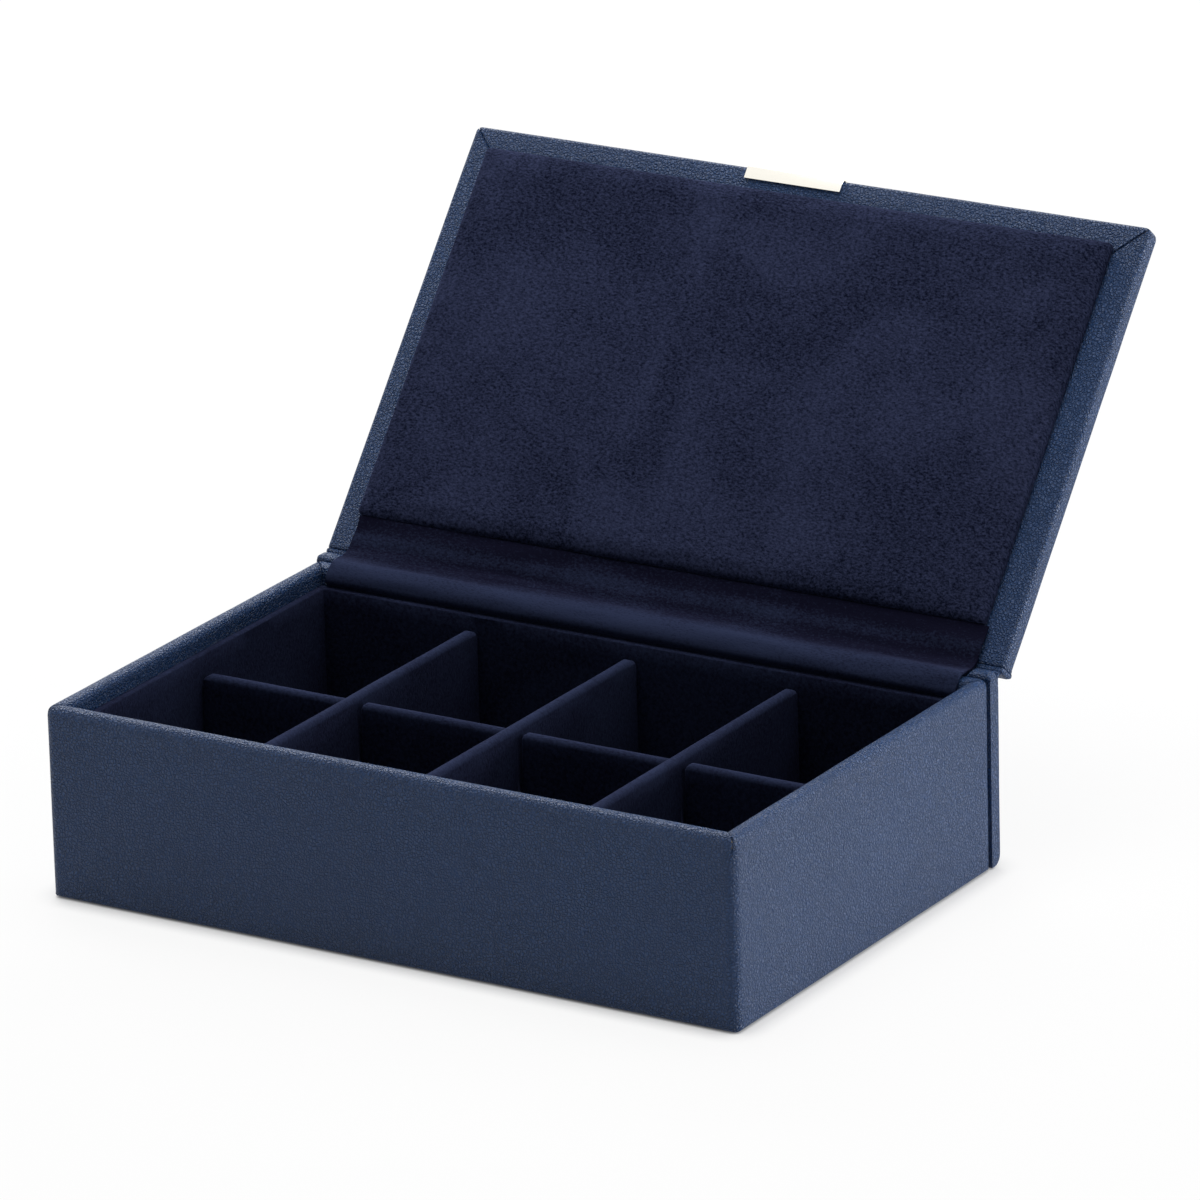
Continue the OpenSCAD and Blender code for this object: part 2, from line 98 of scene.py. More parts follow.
TRAY_LOW, TRAY_HIGH = open_box("tray_leather")
SPINE_LOW, SPINE_HIGH = open_box("spine_leather")
JOINT_LOW, JOINT_HIGH = open_box("hinge_leather")
STRIP_LOW, STRIP_HIGH = open_box("hinge_suede")
FLOOR_LOW, FLOOR_HIGH = open_box("floor_suede")
LINING_LOW, LINING_HIGH = open_box("front_lining_suede")
LID_LOW, LID_HIGH = closed_box("lid_leather")
PAD_LOW, PAD_HIGH = closed_box("pad_suede")
CLIP_LOW, CLIP_HIGH = closed_box("opening_clip")
WALL_T = LINING_LOW.y - TRAY_LOW.y
LID_BACK = closed_box("lid_board")[1].y
LEAN = math.pi - OPEN_ANGLE

# ---- small distances ------------------------------------------------------

TOUCH = 1e-6  # closer than this is the same place
SHEET_GAP = 0.02 * MM  # between the joint's sheets and what they lie on
SLACK = 0.2 * MM  # between pieces that stand side by side
SLOT_GAP = 1 * MM  # from a cross divider to the right side of its slot
FINE_STEP = 0.5 * MM  # spacing of the cuts in the joint's small end pieces
BROAD_WAVES, FINE_WAVES = 20 * MM, 4 * MM  # size of the soft waves in a surface
PAD_VOXEL = 0.9 * MM  # size of the faces of the padded panel
PAD_HELD = 0.6 * MM  # height of the pad's glued foot, which doesn't swell


# ---- settings -------------------------------------------------------------


def length(name, description, default, low, high):
    """A size, given in millimetres, with its limits."""
    return FloatProperty(name=name, description=description, default=default * MM,
                         min=low * MM, max=high * MM, unit="LENGTH", precision=5)


def colour(name, description, default):
    """A colour in linear light."""
    return FloatVectorProperty(name=name, description=description, default=default,
                               subtype="COLOR", min=0, max=1)


def angle(name, description, degrees):
    """An angle, given in degrees."""
    return FloatProperty(name=name, description=description, default=math.radians(degrees),
                         subtype="ANGLE")


def amount(name, description, default, high, low=0):
    """A plain number with its limits."""
    return FloatProperty(name=name, description=description, default=default,
                         min=low, max=high)


class CoverSettings(PropertyGroup):
    """Sizes of the leather covering and of the clip on it."""

    clip_bend: length(
        "Clip bend", "Inner radius of the clip's bends", 0.4, 0.2, 1)
    clip_leg: length(
        "Clip leg", "How far the clip reaches over the lid's inner face", 3.2, 2, 5)
    thickness: length(
        "Leather", "Thickness of the leather", 0.6, 0.3, 1)
    rim_round: length(
        "Rim rounding", "Rounding of the rim's outer edge", 2.3, 0.5, 2.4)
    rim_inner_round: length(
        "Inner rim rounding", "Rounding of the rim's inner edge", 1.4, 0.5, 1.8)
    back_rim_round: length(
        "Back rim rounding", "Rounding of the back wall's inner top edge", 3, 1.5, 3)
    back_edge_round: length(
        "Back edge rounding", "Rounding of the rim where it meets the spine", 0.6, 0.3, 1)
    corner_round: length(
        "Corner rounding", "Rounding of the tray's upright corners", 2.4, 0.5, 3)
    foot_round: length(
        "Foot rounding", "Rounding of the tray's lower edges", 0.8, 0.3, 2)
    spine_foot_round: length(
        "Spine foot", "Rounding of the spine's lower back edge", 2.6, 1, 3)
    spine_round: length(
        "Spine edges", "Rounding of the spine's top and back outline", 0.5, 0.2, 1)
    spine_side_round: length(
        "Spine sides", "Rounding of the spine's outline beside the tray", 0.9, 0.3, 1.2)
    lid_round: length(
        "Lid rounding", "Rounding of the lid's outer edges", 1.6, 0.5, 2.4)
    lid_inner_round: length(
        "Inner lid rounding", "Rounding of the lid's inner edges", 1.1, 0.5, 2)
    lid_corner_round: length(
        "Lid corners", "Rounding of the lid's front corners", 1.7, 0.5, 2.4)
    lid_back_round: length(
        "Lid back rounding", "Rounding of the lid's outer back edge", 2, 1, 2.4)
    joint_lap: length(
        "Joint lap", "How far the joint's leather reaches up the lid", 2, 1.5, 4)
    fold_round: length(
        "Joint fold", "Radius of the fold in the joint's leather", 1.2, 1, 1.4)
    roll_round: length(
        "Roll rounding", "Rounding of the rolls in which the joint ends", 0.95, 0.3, 1)
    end_band: length(
        "End band", "Width of the joint's leather on the lid's edge at its ends", 0.9, 0.3, 1.5)
    lap_round: length(
        "Lap rounding", "Rounding on both sides of the seam beside an end band", 0.5, 0.2, 0.55)
    turn_in: length(
        "Turn-in", "Leather turned down inside the rim", 8, 4, 12)
    turn_under: length(
        "Turn-under", "Leather turned in under the base and the pad", 15, 8, 25)
    seam_depth: length(
        "Seam depth", "Depth of the mitred seams at the corners", 0.5, 0, 0.6)
    seam_width: length(
        "Seam width", "Width of the mitred seams at the corners", 0.6, 0.2, 1.5)
    slice_step: length(
        "Slice step", "Spacing of the cuts that let leather and suede bend", 4, 2, 20)
    leather_wave: length(
        "Leather wave", "How far the leather strays from flat", 0.12, 0, 0.5)


class SuedeSettings(PropertyGroup):
    """Sizes of the suede pieces."""

    divider_end: length(
        "Divider ends", "Rounding of the dividers' upright edges", 0.35, 0.1, 0.7)
    # Painted light: how far the dividers' tops are lightened, as if the lamps above fell on them.
    divider_top_light: amount("Divider top light", "How much painted light lightens the dividers' tops", 0.28, 1)
    floor_round: length(
        "Floor edge", "Rounding of the floor lining's edge", 0.3, 0.1, 0.6)
    pad_corner: length(
        "Pad corners", "Rounding of the pad's corners", 1.2, 0.5, 2)
    edge_round: length(
        "Lining edge", "Rounding of the linings' top edges", 0.7, 0.2, 1)
    divider_round: length(
        "Divider rounding", "Rounding along the dividers' tops", 1.42, 0.5, 1.48)
    divider_corner: length(
        "Divider corners", "Rounding of the dividers' upper ends", 2.5, 1, 4)
    slot_corner: length(
        "Slot corners", "Rounding beside the long divider's slots", 1.3, 0.3, 2)
    pad_edge: length(
        "Pad edge", "Rounding of the pad's edges", 1.3, 0.5, 2)
    pad_rise: length(
        "Pad rise", "How far the pad's middle may swell", 0.7, 0, 1.5)
    suede_wave: length(
        "Suede wave", "How far the suede strays from flat", 0.18, 0, 0.5)
    strip_t: length(
        "Strip", "Thickness of the suede strip in the joint", 0.5, 0.3, 0.7)
    strip_bulge: length(
        "Strip bulge", "Radius of the strip's soft roll over the rim", 4, 3.2, 4.2)
    strip_stand: length(
        "Strip stand-off", "How far the roll stands out over the back lining", 0.55, 0, 1)
    strip_sweep: length(
        "Strip sweep", "Radius of the strip's sweep between the rim and the lid", 5, 3, 8)
    strip_creases: length(
        "Strip creases", "Height of the long soft creases in the strip", 1.1, 0, 1.5)


class ColourSettings(PropertyGroup):
    """Colours of the finishes."""

    leather: colour(
        "Leather", "Colour of the leather", (0.016, 0.056, 0.165))
    suede: colour(
        "Suede", "Colour of the suede", (0.006, 0.006, 0.018))
    suede_nap: colour(
        "Brushed suede", "Colour of the suede where its nap is raised", (0.025, 0.034, 0.076))
    pad: colour(
        "Pad suede", "Colour of the pad's suede", (0.003, 0.005, 0.016))
    pad_nap: colour(
        "Brushed pad", "Colour of the pad's suede where its nap is raised", (0.046, 0.057, 0.123))
    clip: colour(
        "Clip", "Colour of the clip's metal", (0.95, 0.92, 0.84))
    board: colour(
        "Grey board", "Colour of the boards", (0.24, 0.22, 0.19))
    card: colour(
        "Card", "Colour of the lining cards", (0.45, 0.42, 0.36))
    foam: colour(
        "Foam", "Colour of the pad's foam", (0.6, 0.57, 0.48))


class StageSettings(PropertyGroup):
    """Camera, lamps and floor."""

    camera_place: FloatVectorProperty(name="Camera", description="Place of the camera",
                                      default=(1.12964, -1.78707, 0.81223),
                                      subtype="TRANSLATION", unit="LENGTH")
    azimuth: angle("Azimuth", "Turn of the view to the right of the front", 31.776)
    elevation: angle("Elevation", "Height of the view above the horizon", 19.407)
    roll: angle("Roll", "Turn of the camera about its own line of sight", -1.509)
    lens: amount("Lens", "Focal length for a 36 mm frame", 300.49, 1000, low=10)
    key_power: amount("Key lamp", "Power of the lamp low on the back right, in watts", 13, 200)
    side_power: amount("Side lamp", "Power of the lamp on the right, in watts", 2.2, 200)
    rim_power: amount("Rim lamp", "Power of the lamp on the back left, in watts", 8, 200)
    top_power: amount("Top lamp", "Power of the lamp overhead, in watts", 9, 200)
    fill: amount("Fill", "Strength of the even light all round", 0.1, 2)
    contact: length("Contact shadow", "How far the dark line under the box reaches", 6, 1, 50)


# ---- modelling helpers ----------------------------------------------------


def work_on(obj):
    """Makes an object the only selected one and the active one."""
    bpy.ops.object.select_all(action="DESELECT")
    obj.select_set(True)
    bpy.context.view_layer.objects.active = obj


def edit(obj):
    """Opens an object for editing with nothing selected."""
    work_on(obj)
    bpy.ops.object.mode_set(mode="EDIT")
    bpy.ops.mesh.select_all(action="DESELECT")


def done():
    """Closes the object that is being edited."""
    bpy.ops.object.mode_set(mode="OBJECT")


def edge_line(e):
    """The middle of an edge and the direction in which it runs."""
    start, end = (v.co for v in e.verts)
    return (start + end) / 2, (end - start).normalized()


def select(kind, test):
    """Selects what passes a test of its place and its normal, or an edge's direction."""
    bpy.ops.mesh.select_mode(type=kind)
    bpy.ops.mesh.select_all(action="DESELECT")
    mesh = bpy.context.edit_object.data
    work = bmesh.from_edit_mesh(mesh)
    parts, line = {
        "FACE": (work.faces, lambda face: (face.calc_center_median(), face.normal)),
        "EDGE": (work.edges, edge_line),
        "VERT": (work.verts, lambda v: (v.co, v.normal)),
    }[kind]
    for part in parts:
        if test(*line(part)):
            part.select_set(True)
    bmesh.update_edit_mesh(mesh)


def cut(axis, place):
    """Cuts the whole mesh that is being edited across one axis."""
    normal = Vector((0, 0, 0))
    normal[axis] = 1
    bpy.ops.mesh.select_all(action="SELECT")
    bpy.ops.mesh.bisect(plane_co=normal * place, plane_no=normal)


def add_block(name, low, high):
    """Adds a block between two corners."""
    bpy.ops.object.select_all(action="DESELECT")
    bpy.ops.mesh.primitive_cube_add(size=1, location=(Vector(low) + Vector(high)) / 2)
    obj = bpy.context.active_object
    obj.name = obj.data.name = name
    obj.scale = Vector(high) - Vector(low)
    bpy.ops.object.transform_apply(location=True, rotation=True, scale=True)
    return obj


def add_strip(name, path, width):
    """Adds a strip of even width along X that follows a path of (y, z) points."""
    bpy.ops.object.select_all(action="DESELECT")
    bpy.ops.mesh.primitive_plane_add(size=1, location=(0, 0, 0))
    obj = bpy.context.active_object
    obj.name = obj.data.name = name
    (y0, z0), (y1, z1) = path[0], path[1]
    for v in obj.data.vertices:
        first = v.co.y < 0
        v.co = Vector((math.copysign(width / 2, v.co.x), y0 if first else y1, z0 if first else z1))
    edit(obj)
    select("EDGE", lambda p, d: abs(p.y - y1) < TOUCH and abs(p.z - z1) < TOUCH)
    for here, there in zip(path[1:], path[2:]):
        step = (0, there[0] - here[0], there[1] - here[1])
        bpy.ops.mesh.extrude_edges_move(TRANSFORM_OT_translate={"value": step})
    done()
    return obj


def slice_mesh(obj, axis, step):
    """Cuts a mesh across at even steps along one axis, so that it can bend."""
    low = min(v.co[axis] for v in obj.data.vertices)
    high = max(v.co[axis] for v in obj.data.vertices)
    count = max(1, round((high - low) / step))
    edit(obj)
    for i in range(1, count):
        cut(axis, low + (high - low) * i / count)
    done()


def modify(obj, kind, **settings):
    """Adds a modifier with the given settings and applies it."""
    work_on(obj)
    modifier = obj.modifiers.new(kind.title(), kind)
    for key, value in settings.items():
        setattr(modifier, key, value)
    bpy.ops.object.modifier_apply(modifier=modifier.name)


def round_edges(obj, rules, segments):
    """Rounds edges by the first rule each passes: (radius, test of its middle and direction)."""
    widest = max(radius for radius, _ in rules)
    work = bmesh.new()
    work.from_mesh(obj.data)
    weight = work.edges.layers.float.new("bevel_weight_edge")
    for e in work.edges:
        line = edge_line(e)
        e[weight] = next((radius for radius, test in rules if test(*line)), 0) / widest
    work.to_mesh(obj.data)
    work.free()
    modify(obj, "BEVEL", width=widest, segments=segments, limit_method="WEIGHT",
           use_clamp_overlap=False, miter_outer="MITER_SHARP")


def wave(obj, amount, size, seed, stretch=1, middle=0.5, moves=None):
    """Moves a surface in and out a little, in soft waves of the given size.

    stretch draws the waves out along X. A middle of 0 moves the surface only outwards.
    Only the points that pass the test, where there is one, move.
    """
    group = obj.vertex_groups.new(name="moves")
    group.add([v.index for v in obj.data.vertices if moves is None or moves(v.co)], 1, "ADD")
    texture = bpy.data.textures.new("Soft waves", "CLOUDS")
    texture.noise_scale = size
    texture.noise_depth = 1
    anchor = bpy.data.objects.new("wave anchor", None)
    bpy.context.scene.collection.objects.link(anchor)
    anchor.location = (seed * 0.37, seed * 0.53, seed * 0.71)
    anchor.scale = (stretch, 1, 1)
    bpy.context.view_layer.update()
    modify(obj, "DISPLACE", texture=texture, texture_coords="OBJECT",
           texture_coords_object=anchor, strength=amount, mid_level=middle,
           vertex_group=group.name)
    obj.vertex_groups.clear()
    bpy.data.objects.remove(anchor)
    bpy.data.textures.remove(texture)


def face_outwards(obj):
    """Turns all faces of a mesh outwards."""
    edit(obj)
    bpy.ops.mesh.select_all(action="SELECT")
    bpy.ops.mesh.remove_doubles(threshold=TOUCH)
    bpy.ops.mesh.normals_make_consistent(inside=False)
    done()


def smooth(obj, angle=40):
    """Shades a mesh smooth but for its sharper edges."""
    work_on(obj)
    bpy.ops.object.shade_smooth_by_angle(angle=math.radians(angle))


def make_soft(obj, axes, step, depth, size, seed, angle=40):
    """Cuts a closed piece so that it can bend, waves its surface and shades it smooth."""
    face_outwards(obj)
    for axis in axes:
        slice_mesh(obj, axis, step)
    wave(obj, depth, size, seed)
    smooth(obj, angle)


def swing_open(obj):
    """Turns a piece drawn on the closed lid to where the open lid has it."""
    work_on(obj)
    obj.matrix_world = TO_OPEN
    bpy.ops.object.transform_apply(location=True, rotation=True, scale=True)


def press_mitre(obj, corner, inward, above, cover):
    """Presses the seam between two turned-over flaps into one corner of a rim."""
    reach = WALL_T + cover.slice_step * 2
    line = Vector((inward[0], inward[1], 0)).normalized()
    across = Vector((-line.y, line.x, 0))
    corner = Vector(corner)

    def near(p):
        return (abs(p.x - corner.x) < reach and abs(p.y - corner.y) < reach
                and above(p))

    edit(obj)
    for offset in (-cover.seam_width / 2, 0, cover.seam_width / 2):
        select("FACE", lambda p, n: near(p))
        bpy.ops.mesh.bisect(plane_co=corner + across * offset, plane_no=across)
    select("VERT", lambda p, n: near(p) and abs((p - corner).dot(across)) < TOUCH)
    bpy.ops.transform.shrink_fatten(value=-cover.seam_depth)
    done()


def add_piece(obj, body, slot, material, *nodes):
    """Gives a finished piece its finish, its body and the nodes that it stands for."""
    obj.data.materials.clear()
    obj.data.materials.append(material)
    if nodes:
        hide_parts(*nodes)
    if body:
        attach(obj, body)


# ---- finishes -------------------------------------------------------------


def node_group(name, inputs, outputs):
    """A new shader node group with the named sockets, or the one that exists."""
    group = bpy.data.node_groups.get(name)
    if group:
        return group, None, None
    group = bpy.data.node_groups.new(name, "ShaderNodeTree")
    for socket, kind in inputs:
        group.interface.new_socket(name=socket, in_out="INPUT", socket_type=kind)
    for socket, kind in outputs:
        group.interface.new_socket(name=socket, in_out="OUTPUT", socket_type=kind)
    return group, group.nodes.new("NodeGroupInput"), group.nodes.new("NodeGroupOutput")


def set_inputs(tree, node, values=None, links=None):
    """Sets the values of a node's inputs and links sockets to them."""
    for key, value in (values or {}).items():
        node.inputs[key].default_value = value
    for key, socket in (links or {}).items():
        tree.links.new(socket, node.inputs[key])


def add_node(tree, kind, settings=None, values=None, links=None):
    """Adds a node with its settings, its inputs' values and its incoming links."""
    node = tree.nodes.new("ShaderNode" + kind)
    for key, value in (settings or {}).items():
        setattr(node, key, value)
    set_inputs(tree, node, values, links)
    return node


def maths(tree, operation, a, b=None, clamp=False):
    """Adds a maths node. a and b are sockets or numbers."""
    node = add_node(tree, "Math", {"operation": operation, "use_clamp": clamp})
    for index, value in enumerate((a, b)):
        if value is None:
            continue
        if isinstance(value, (int, float)):
            node.inputs[index].default_value = value
        else:
            tree.links.new(value, node.inputs[index])
    return node.outputs[0]


def pebble_grain_group():
    """Pebbled leather grain: rounded cells between fine creases."""
    group, start, end = node_group(
        "Pebble grain",
        [("Vector", "NodeSocketVector"), ("Cells per metre", "NodeSocketFloat")],
        [("Height", "NodeSocketFloat"), ("Crease", "NodeSocketFloat")])
    if not start:
        return group
    place = start.outputs["Vector"]
    density = start.outputs["Cells per metre"]
    drift = add_node(group, "TexNoise", None, {"Detail": 2.0, "Roughness": 0.6},
                     {"Vector": place, "Scale": maths(group, "MULTIPLY", density, 0.45)})
    push = add_node(group, "VectorMath", {"operation": "SCALE"}, {"Scale": 0.0009},
                    {0: drift.outputs["Color"]})
    moved = add_node(group, "VectorMath", {"operation": "ADD"}, None,
                     {0: place, 1: push.outputs["Vector"]})
    cells = add_node(group, "TexVoronoi", {"feature": "DISTANCE_TO_EDGE"}, {"Randomness": 0.9},
                     {"Vector": moved.outputs["Vector"], "Scale": density})
    crease = add_node(group, "MapRange", {"interpolation_type": "SMOOTHSTEP"},
                      {"From Min": 0.0, "From Max": 0.22}, {"Value": cells.outputs["Distance"]})
    fine = add_node(group, "TexNoise", None, {"Detail": 3.0, "Roughness": 0.55},
                    {"Vector": place, "Scale": maths(group, "MULTIPLY", density, 2.2)})
    height = maths(group, "ADD", maths(group, "MULTIPLY", crease.outputs["Result"], 0.7),
                   maths(group, "MULTIPLY", fine.outputs["Fac"], 0.5))
    group.links.new(height, end.inputs["Height"])
    group.links.new(maths(group, "SUBTRACT", 1.0, crease.outputs["Result"]), end.inputs["Crease"])
    return group


def nap_group():
    """Suede nap: soft brushed patches, short fibres and a fine tooth, plus the painted light and
    shade that a piece carries.
    """
    group, start, end = node_group(
        "Suede nap",
        [("Vector", "NodeSocketVector"), ("Patch scale", "NodeSocketFloat"),
         ("Patches", "NodeSocketFloat"), ("Speckle", "NodeSocketFloat"),
         ("Lay", "NodeSocketFloat")],
        [("Brushed", "NodeSocketFloat"), ("Height", "NodeSocketFloat")])
    if not start:
        return group
    place = start.outputs["Vector"]
    patch = add_node(group, "TexNoise", None, {"Detail": 3.0, "Roughness": 0.5, "Distortion": 0.9},
                     {"Vector": place, "Scale": start.outputs["Patch scale"]})
    patches = add_node(group, "MapRange", {"interpolation_type": "SMOOTHSTEP"},
                       {"From Min": 0.36, "From Max": 0.66, "To Min": -0.5, "To Max": 0.5},
                       {"Value": patch.outputs["Fac"]})
    lie = add_node(group, "Mapping", None,
                   {"Rotation": (0.6, 0.3, 0.8), "Scale": (1.0, 2.6, 1.0)}, {"Vector": place})
    fibres = add_node(group, "TexNoise", None, {"Scale": 1150.0, "Detail": 2.0, "Roughness": 0.6},
                      {"Vector": lie.outputs["Vector"]})
    tooth = add_node(group, "TexNoise", None, {"Scale": 2600.0, "Detail": 1.0}, {"Vector": place})
    texture = maths(group, "ADD", maths(group, "MULTIPLY", fibres.outputs["Fac"], 0.7),
                    maths(group, "MULTIPLY", tooth.outputs["Fac"], 0.3))
    speckle = maths(group, "MULTIPLY", maths(group, "SUBTRACT", texture, 0.5),
                    start.outputs["Speckle"])
    nap_and_light = maths(group, "ADD", speckle,
                    maths(group, "MULTIPLY", patches.outputs["Result"], start.outputs["Patches"]))
    # Painted light and shade: the piece's attribute lightens or darkens the colour here.
    nap_and_light = maths(group, "ADD", nap_and_light, start.outputs["Lay"])
    nap_and_light = maths(group, "ADD", nap_and_light, 0.5, clamp=True)
    group.links.new(nap_and_light, end.inputs["Brushed"])
    group.links.new(texture, end.inputs["Height"])
    return group


def new_material(name):
    """An empty node material with a shader and object coordinates."""
    material = bpy.data.materials.new(name)
    material.use_nodes = True
    tree = material.node_tree
    tree.nodes.clear()
    out = tree.nodes.new("ShaderNodeOutputMaterial")
    shader = tree.nodes.new("ShaderNodeBsdfPrincipled")
    tree.links.new(shader.outputs["BSDF"], out.inputs["Surface"])
    place = tree.nodes.new("ShaderNodeTexCoord").outputs["Object"]
    return material, tree, shader, place


def colour_sockets(sockets):
    """The colour sockets among a mix node's inputs or outputs."""
    return [s for s in sockets if s.type == "RGBA"]


def blend_colours(tree, factor, low, high):
    """Mixes two colours by a socket."""
    mix = add_node(tree, "Mix", {"data_type": "RGBA"}, None, {"Factor": factor})
    for socket, colour in zip(colour_sockets(mix.inputs), (low, high)):
        socket.default_value = (*colour, 1)
    return colour_sockets(mix.outputs)[0]


def relief(tree, height, strength, depth):
    """A surface normal that follows a height, up to a depth in metres."""
    bump = add_node(tree, "Bump", None, {"Strength": strength, "Distance": depth},
                    {"Height": height})
    return bump.outputs["Normal"]


def leather_material(colours):
    """Pebbled navy leather with a soft satin coat."""
    material, tree, shader, place = new_material("Pebbled leather")
    grain = add_node(tree, "Group", {"node_tree": pebble_grain_group()},
                     {"Cells per metre": 1250}, {"Vector": place})
    tint = add_node(tree, "TexNoise", None, {"Scale": 22.0, "Detail": 3.0, "Roughness": 0.55},
                    {"Vector": place})
    light = Vector(colours.leather) * 1.18
    dark = Vector(colours.leather) * 0.84
    mix = add_node(tree, "Mix", {"data_type": "RGBA", "blend_type": "MULTIPLY"}, None,
                   {"Factor": maths(tree, "MULTIPLY", grain.outputs["Crease"], 0.35)})
    base, creases = colour_sockets(mix.inputs)
    tree.links.new(blend_colours(tree, tint.outputs["Fac"], dark, light), base)
    creases.default_value = (0.45, 0.45, 0.5, 1)
    rough = add_node(tree, "MapRange", None, {"To Min": 0.34, "To Max": 0.5},
                     {"Value": grain.outputs["Crease"]})
    set_inputs(tree, shader, {"Specular IOR Level": 0.34},
               {"Base Color": colour_sockets(mix.outputs)[0], "Roughness": rough.outputs["Result"],
                "Normal": relief(tree, grain.outputs["Height"], 1.0, 0.6 * MM)})
    return material


def suede_material(name, flat, raised, patches, speckle, sheen):
    """Navy suede with a brushed nap, between two colours. An attribute on a piece paints light and
    shade onto it, lighter where light falls and darker where shade lies.
    """
    material, tree, shader, place = new_material(name)
    painted_light = add_node(tree, "Attribute", {"attribute_name": "Lay"})
    nap = add_node(tree, "Group", {"node_tree": nap_group()},
                   {"Patch scale": 26, "Patches": patches, "Speckle": speckle},
                   {"Vector": place, "Lay": painted_light.outputs["Fac"]})
    set_inputs(tree, shader,
               {"Roughness": 0.95, "Specular IOR Level": 0.03, "Sheen Weight": sheen,
                "Sheen Roughness": 0.45, "Sheen Tint": (0.3, 0.36, 0.75, 1)},
               {"Base Color": blend_colours(tree, nap.outputs["Brushed"], flat, raised),
                "Normal": relief(tree, nap.outputs["Height"], 0.7, 0.14 * MM)})
    return material


def clip_material(colours):
    """Polished pale metal with hair-fine rubbing marks."""
    material, tree, shader, place = new_material("Polished clip metal")
    lie = add_node(tree, "Mapping", None, {"Scale": (1.0, 14.0, 14.0)}, {"Vector": place})
    marks = add_node(tree, "TexNoise", None, {"Scale": 260.0, "Detail": 4.0},
                     {"Vector": lie.outputs["Vector"]})
    rough = add_node(tree, "MapRange", None, {"To Min": 0.14, "To Max": 0.3},
                     {"Value": marks.outputs["Fac"]})
    set_inputs(tree, shader, {"Metallic": 1, "Base Color": (*colours.clip, 1)},
               {"Roughness": rough.outputs["Result"],
                "Normal": relief(tree, marks.outputs["Fac"], 0.08, 0.02 * MM)})
    return material


def fibre_material(name, colour, scale, roughness):
    """A matte fibrous sheet, such as board, card, foam or paper."""
    material, tree, shader, place = new_material(name)
    specks = add_node(tree, "TexNoise", None, {"Scale": scale, "Detail": 6.0, "Roughness": 0.7},
                      {"Vector": place}).outputs["Fac"]
    shade = blend_colours(tree, specks, Vector(colour) * 0.7, Vector(colour) * 1.3)
    set_inputs(tree, shader, {"Roughness": roughness, "Specular IOR Level": 0.2},
               {"Base Color": shade, "Normal": relief(tree, specks, 0.4, 0.1 * MM)})
    return material


def finish(name):
    """A finish by name, made the first time it is asked for."""
    made = bpy.data.materials.get(name)
    if made:
        return made
    colours = bpy.context.scene.box_colours
    makers = {
        "Pebbled leather": lambda: leather_material(colours),
        "Navy suede": lambda: suede_material(
            "Navy suede", colours.suede, colours.suede_nap, 0.3, 2.6, 0.12),
        "Pad suede": lambda: suede_material(
            "Pad suede", colours.pad, colours.pad_nap, 0.26, 2.9, 0.05),
        "Polished clip metal": lambda: clip_material(colours),
        "Grey board": lambda: fibre_material("Grey board", colours.board, 900.0, 0.9),
        "Lining card": lambda: fibre_material("Lining card", colours.card, 1200.0, 0.85),
        "Pad foam": lambda: fibre_material("Pad foam", colours.foam, 1600.0, 0.95),
        "Underside paper": lambda: fibre_material(
            "Underside paper", Vector(colours.leather) * 0.8, 1500.0, 0.8),
    }
    return makers[name]()


# ---- pieces ---------------------------------------------------------------


class BOX_OT_tray_cover(Operator):
    """Covers the tray in leather: outside, over the rim, down inside and in under the base"""

    bl_idname = "cufflink_box.tray_cover"
    bl_label = "Tray cover"

    def execute(self, context):
        cover = context.scene.box_cover
        low, high = TRAY_LOW, TRAY_HIGH
        obj = add_block("tray_cover", low, high)
        edit(obj)
        select("FACE", lambda p, n: n.z > 0.9)
        bpy.ops.mesh.inset(thickness=WALL_T, depth=0)
        bpy.ops.mesh.extrude_region_move(
            TRANSFORM_OT_translate={"value": (0, 0, -cover.turn_in)})
        bpy.ops.mesh.delete(type="FACE")
        select("FACE", lambda p, n: n.z < -0.9)
        bpy.ops.mesh.inset(thickness=cover.turn_under, depth=0)
        bpy.ops.mesh.delete(type="FACE")
        done()

        def on_outline(p):
            return (abs(abs(p.x) - high.x) < TOUCH or abs(abs(p.y) - high.y) < TOUCH)

        def on_inner_rim(p):
            inside = (abs(abs(p.x) - high.x + WALL_T) < TOUCH
                      or abs(abs(p.y) - high.y + WALL_T) < TOUCH)
            return inside and p.z > high.z - TOUCH

        def along_back(p, d):
            return p.y > high.y - WALL_T - TOUCH and abs(d.x) > 0.99

        round_edges(obj, [
            (cover.back_edge_round,
             lambda p, d: on_outline(p) and p.z > high.z - TOUCH and along_back(p, d)),
            (cover.back_rim_round, lambda p, d: on_inner_rim(p) and along_back(p, d)),
            (cover.rim_round, lambda p, d: on_outline(p) and p.z > high.z - TOUCH),
            (cover.foot_round, lambda p, d: on_outline(p) and p.z < low.z + TOUCH),
            (cover.corner_round, lambda p, d: on_outline(p) and abs(d.z) > 0.9),
            (cover.rim_inner_round, lambda p, d: on_inner_rim(p) and abs(d.z) < 0.1
                and (abs(d.x) > 0.99 or abs(d.y) > 0.99)),
        ], 6)
        face_outwards(obj)
        for axis in (0, 1, 2):
            slice_mesh(obj, axis, cover.slice_step)
        for side_x in (-1, 1):
            for side_y in (-1, 1):
                press_mitre(obj, (side_x * high.x, side_y * high.y, 0), (-side_x, -side_y),
                            lambda p: p.z > high.z - WALL_T * 0.7, cover)
        wave(obj, cover.leather_wave, BROAD_WAVES, 1)
        modify(obj, "SOLIDIFY", thickness=cover.thickness, offset=-1)
        smooth(obj)
        add_piece(obj, "tray", "navy_leather", finish("Pebbled leather"), "tray_leather")
        return {"FINISHED"}


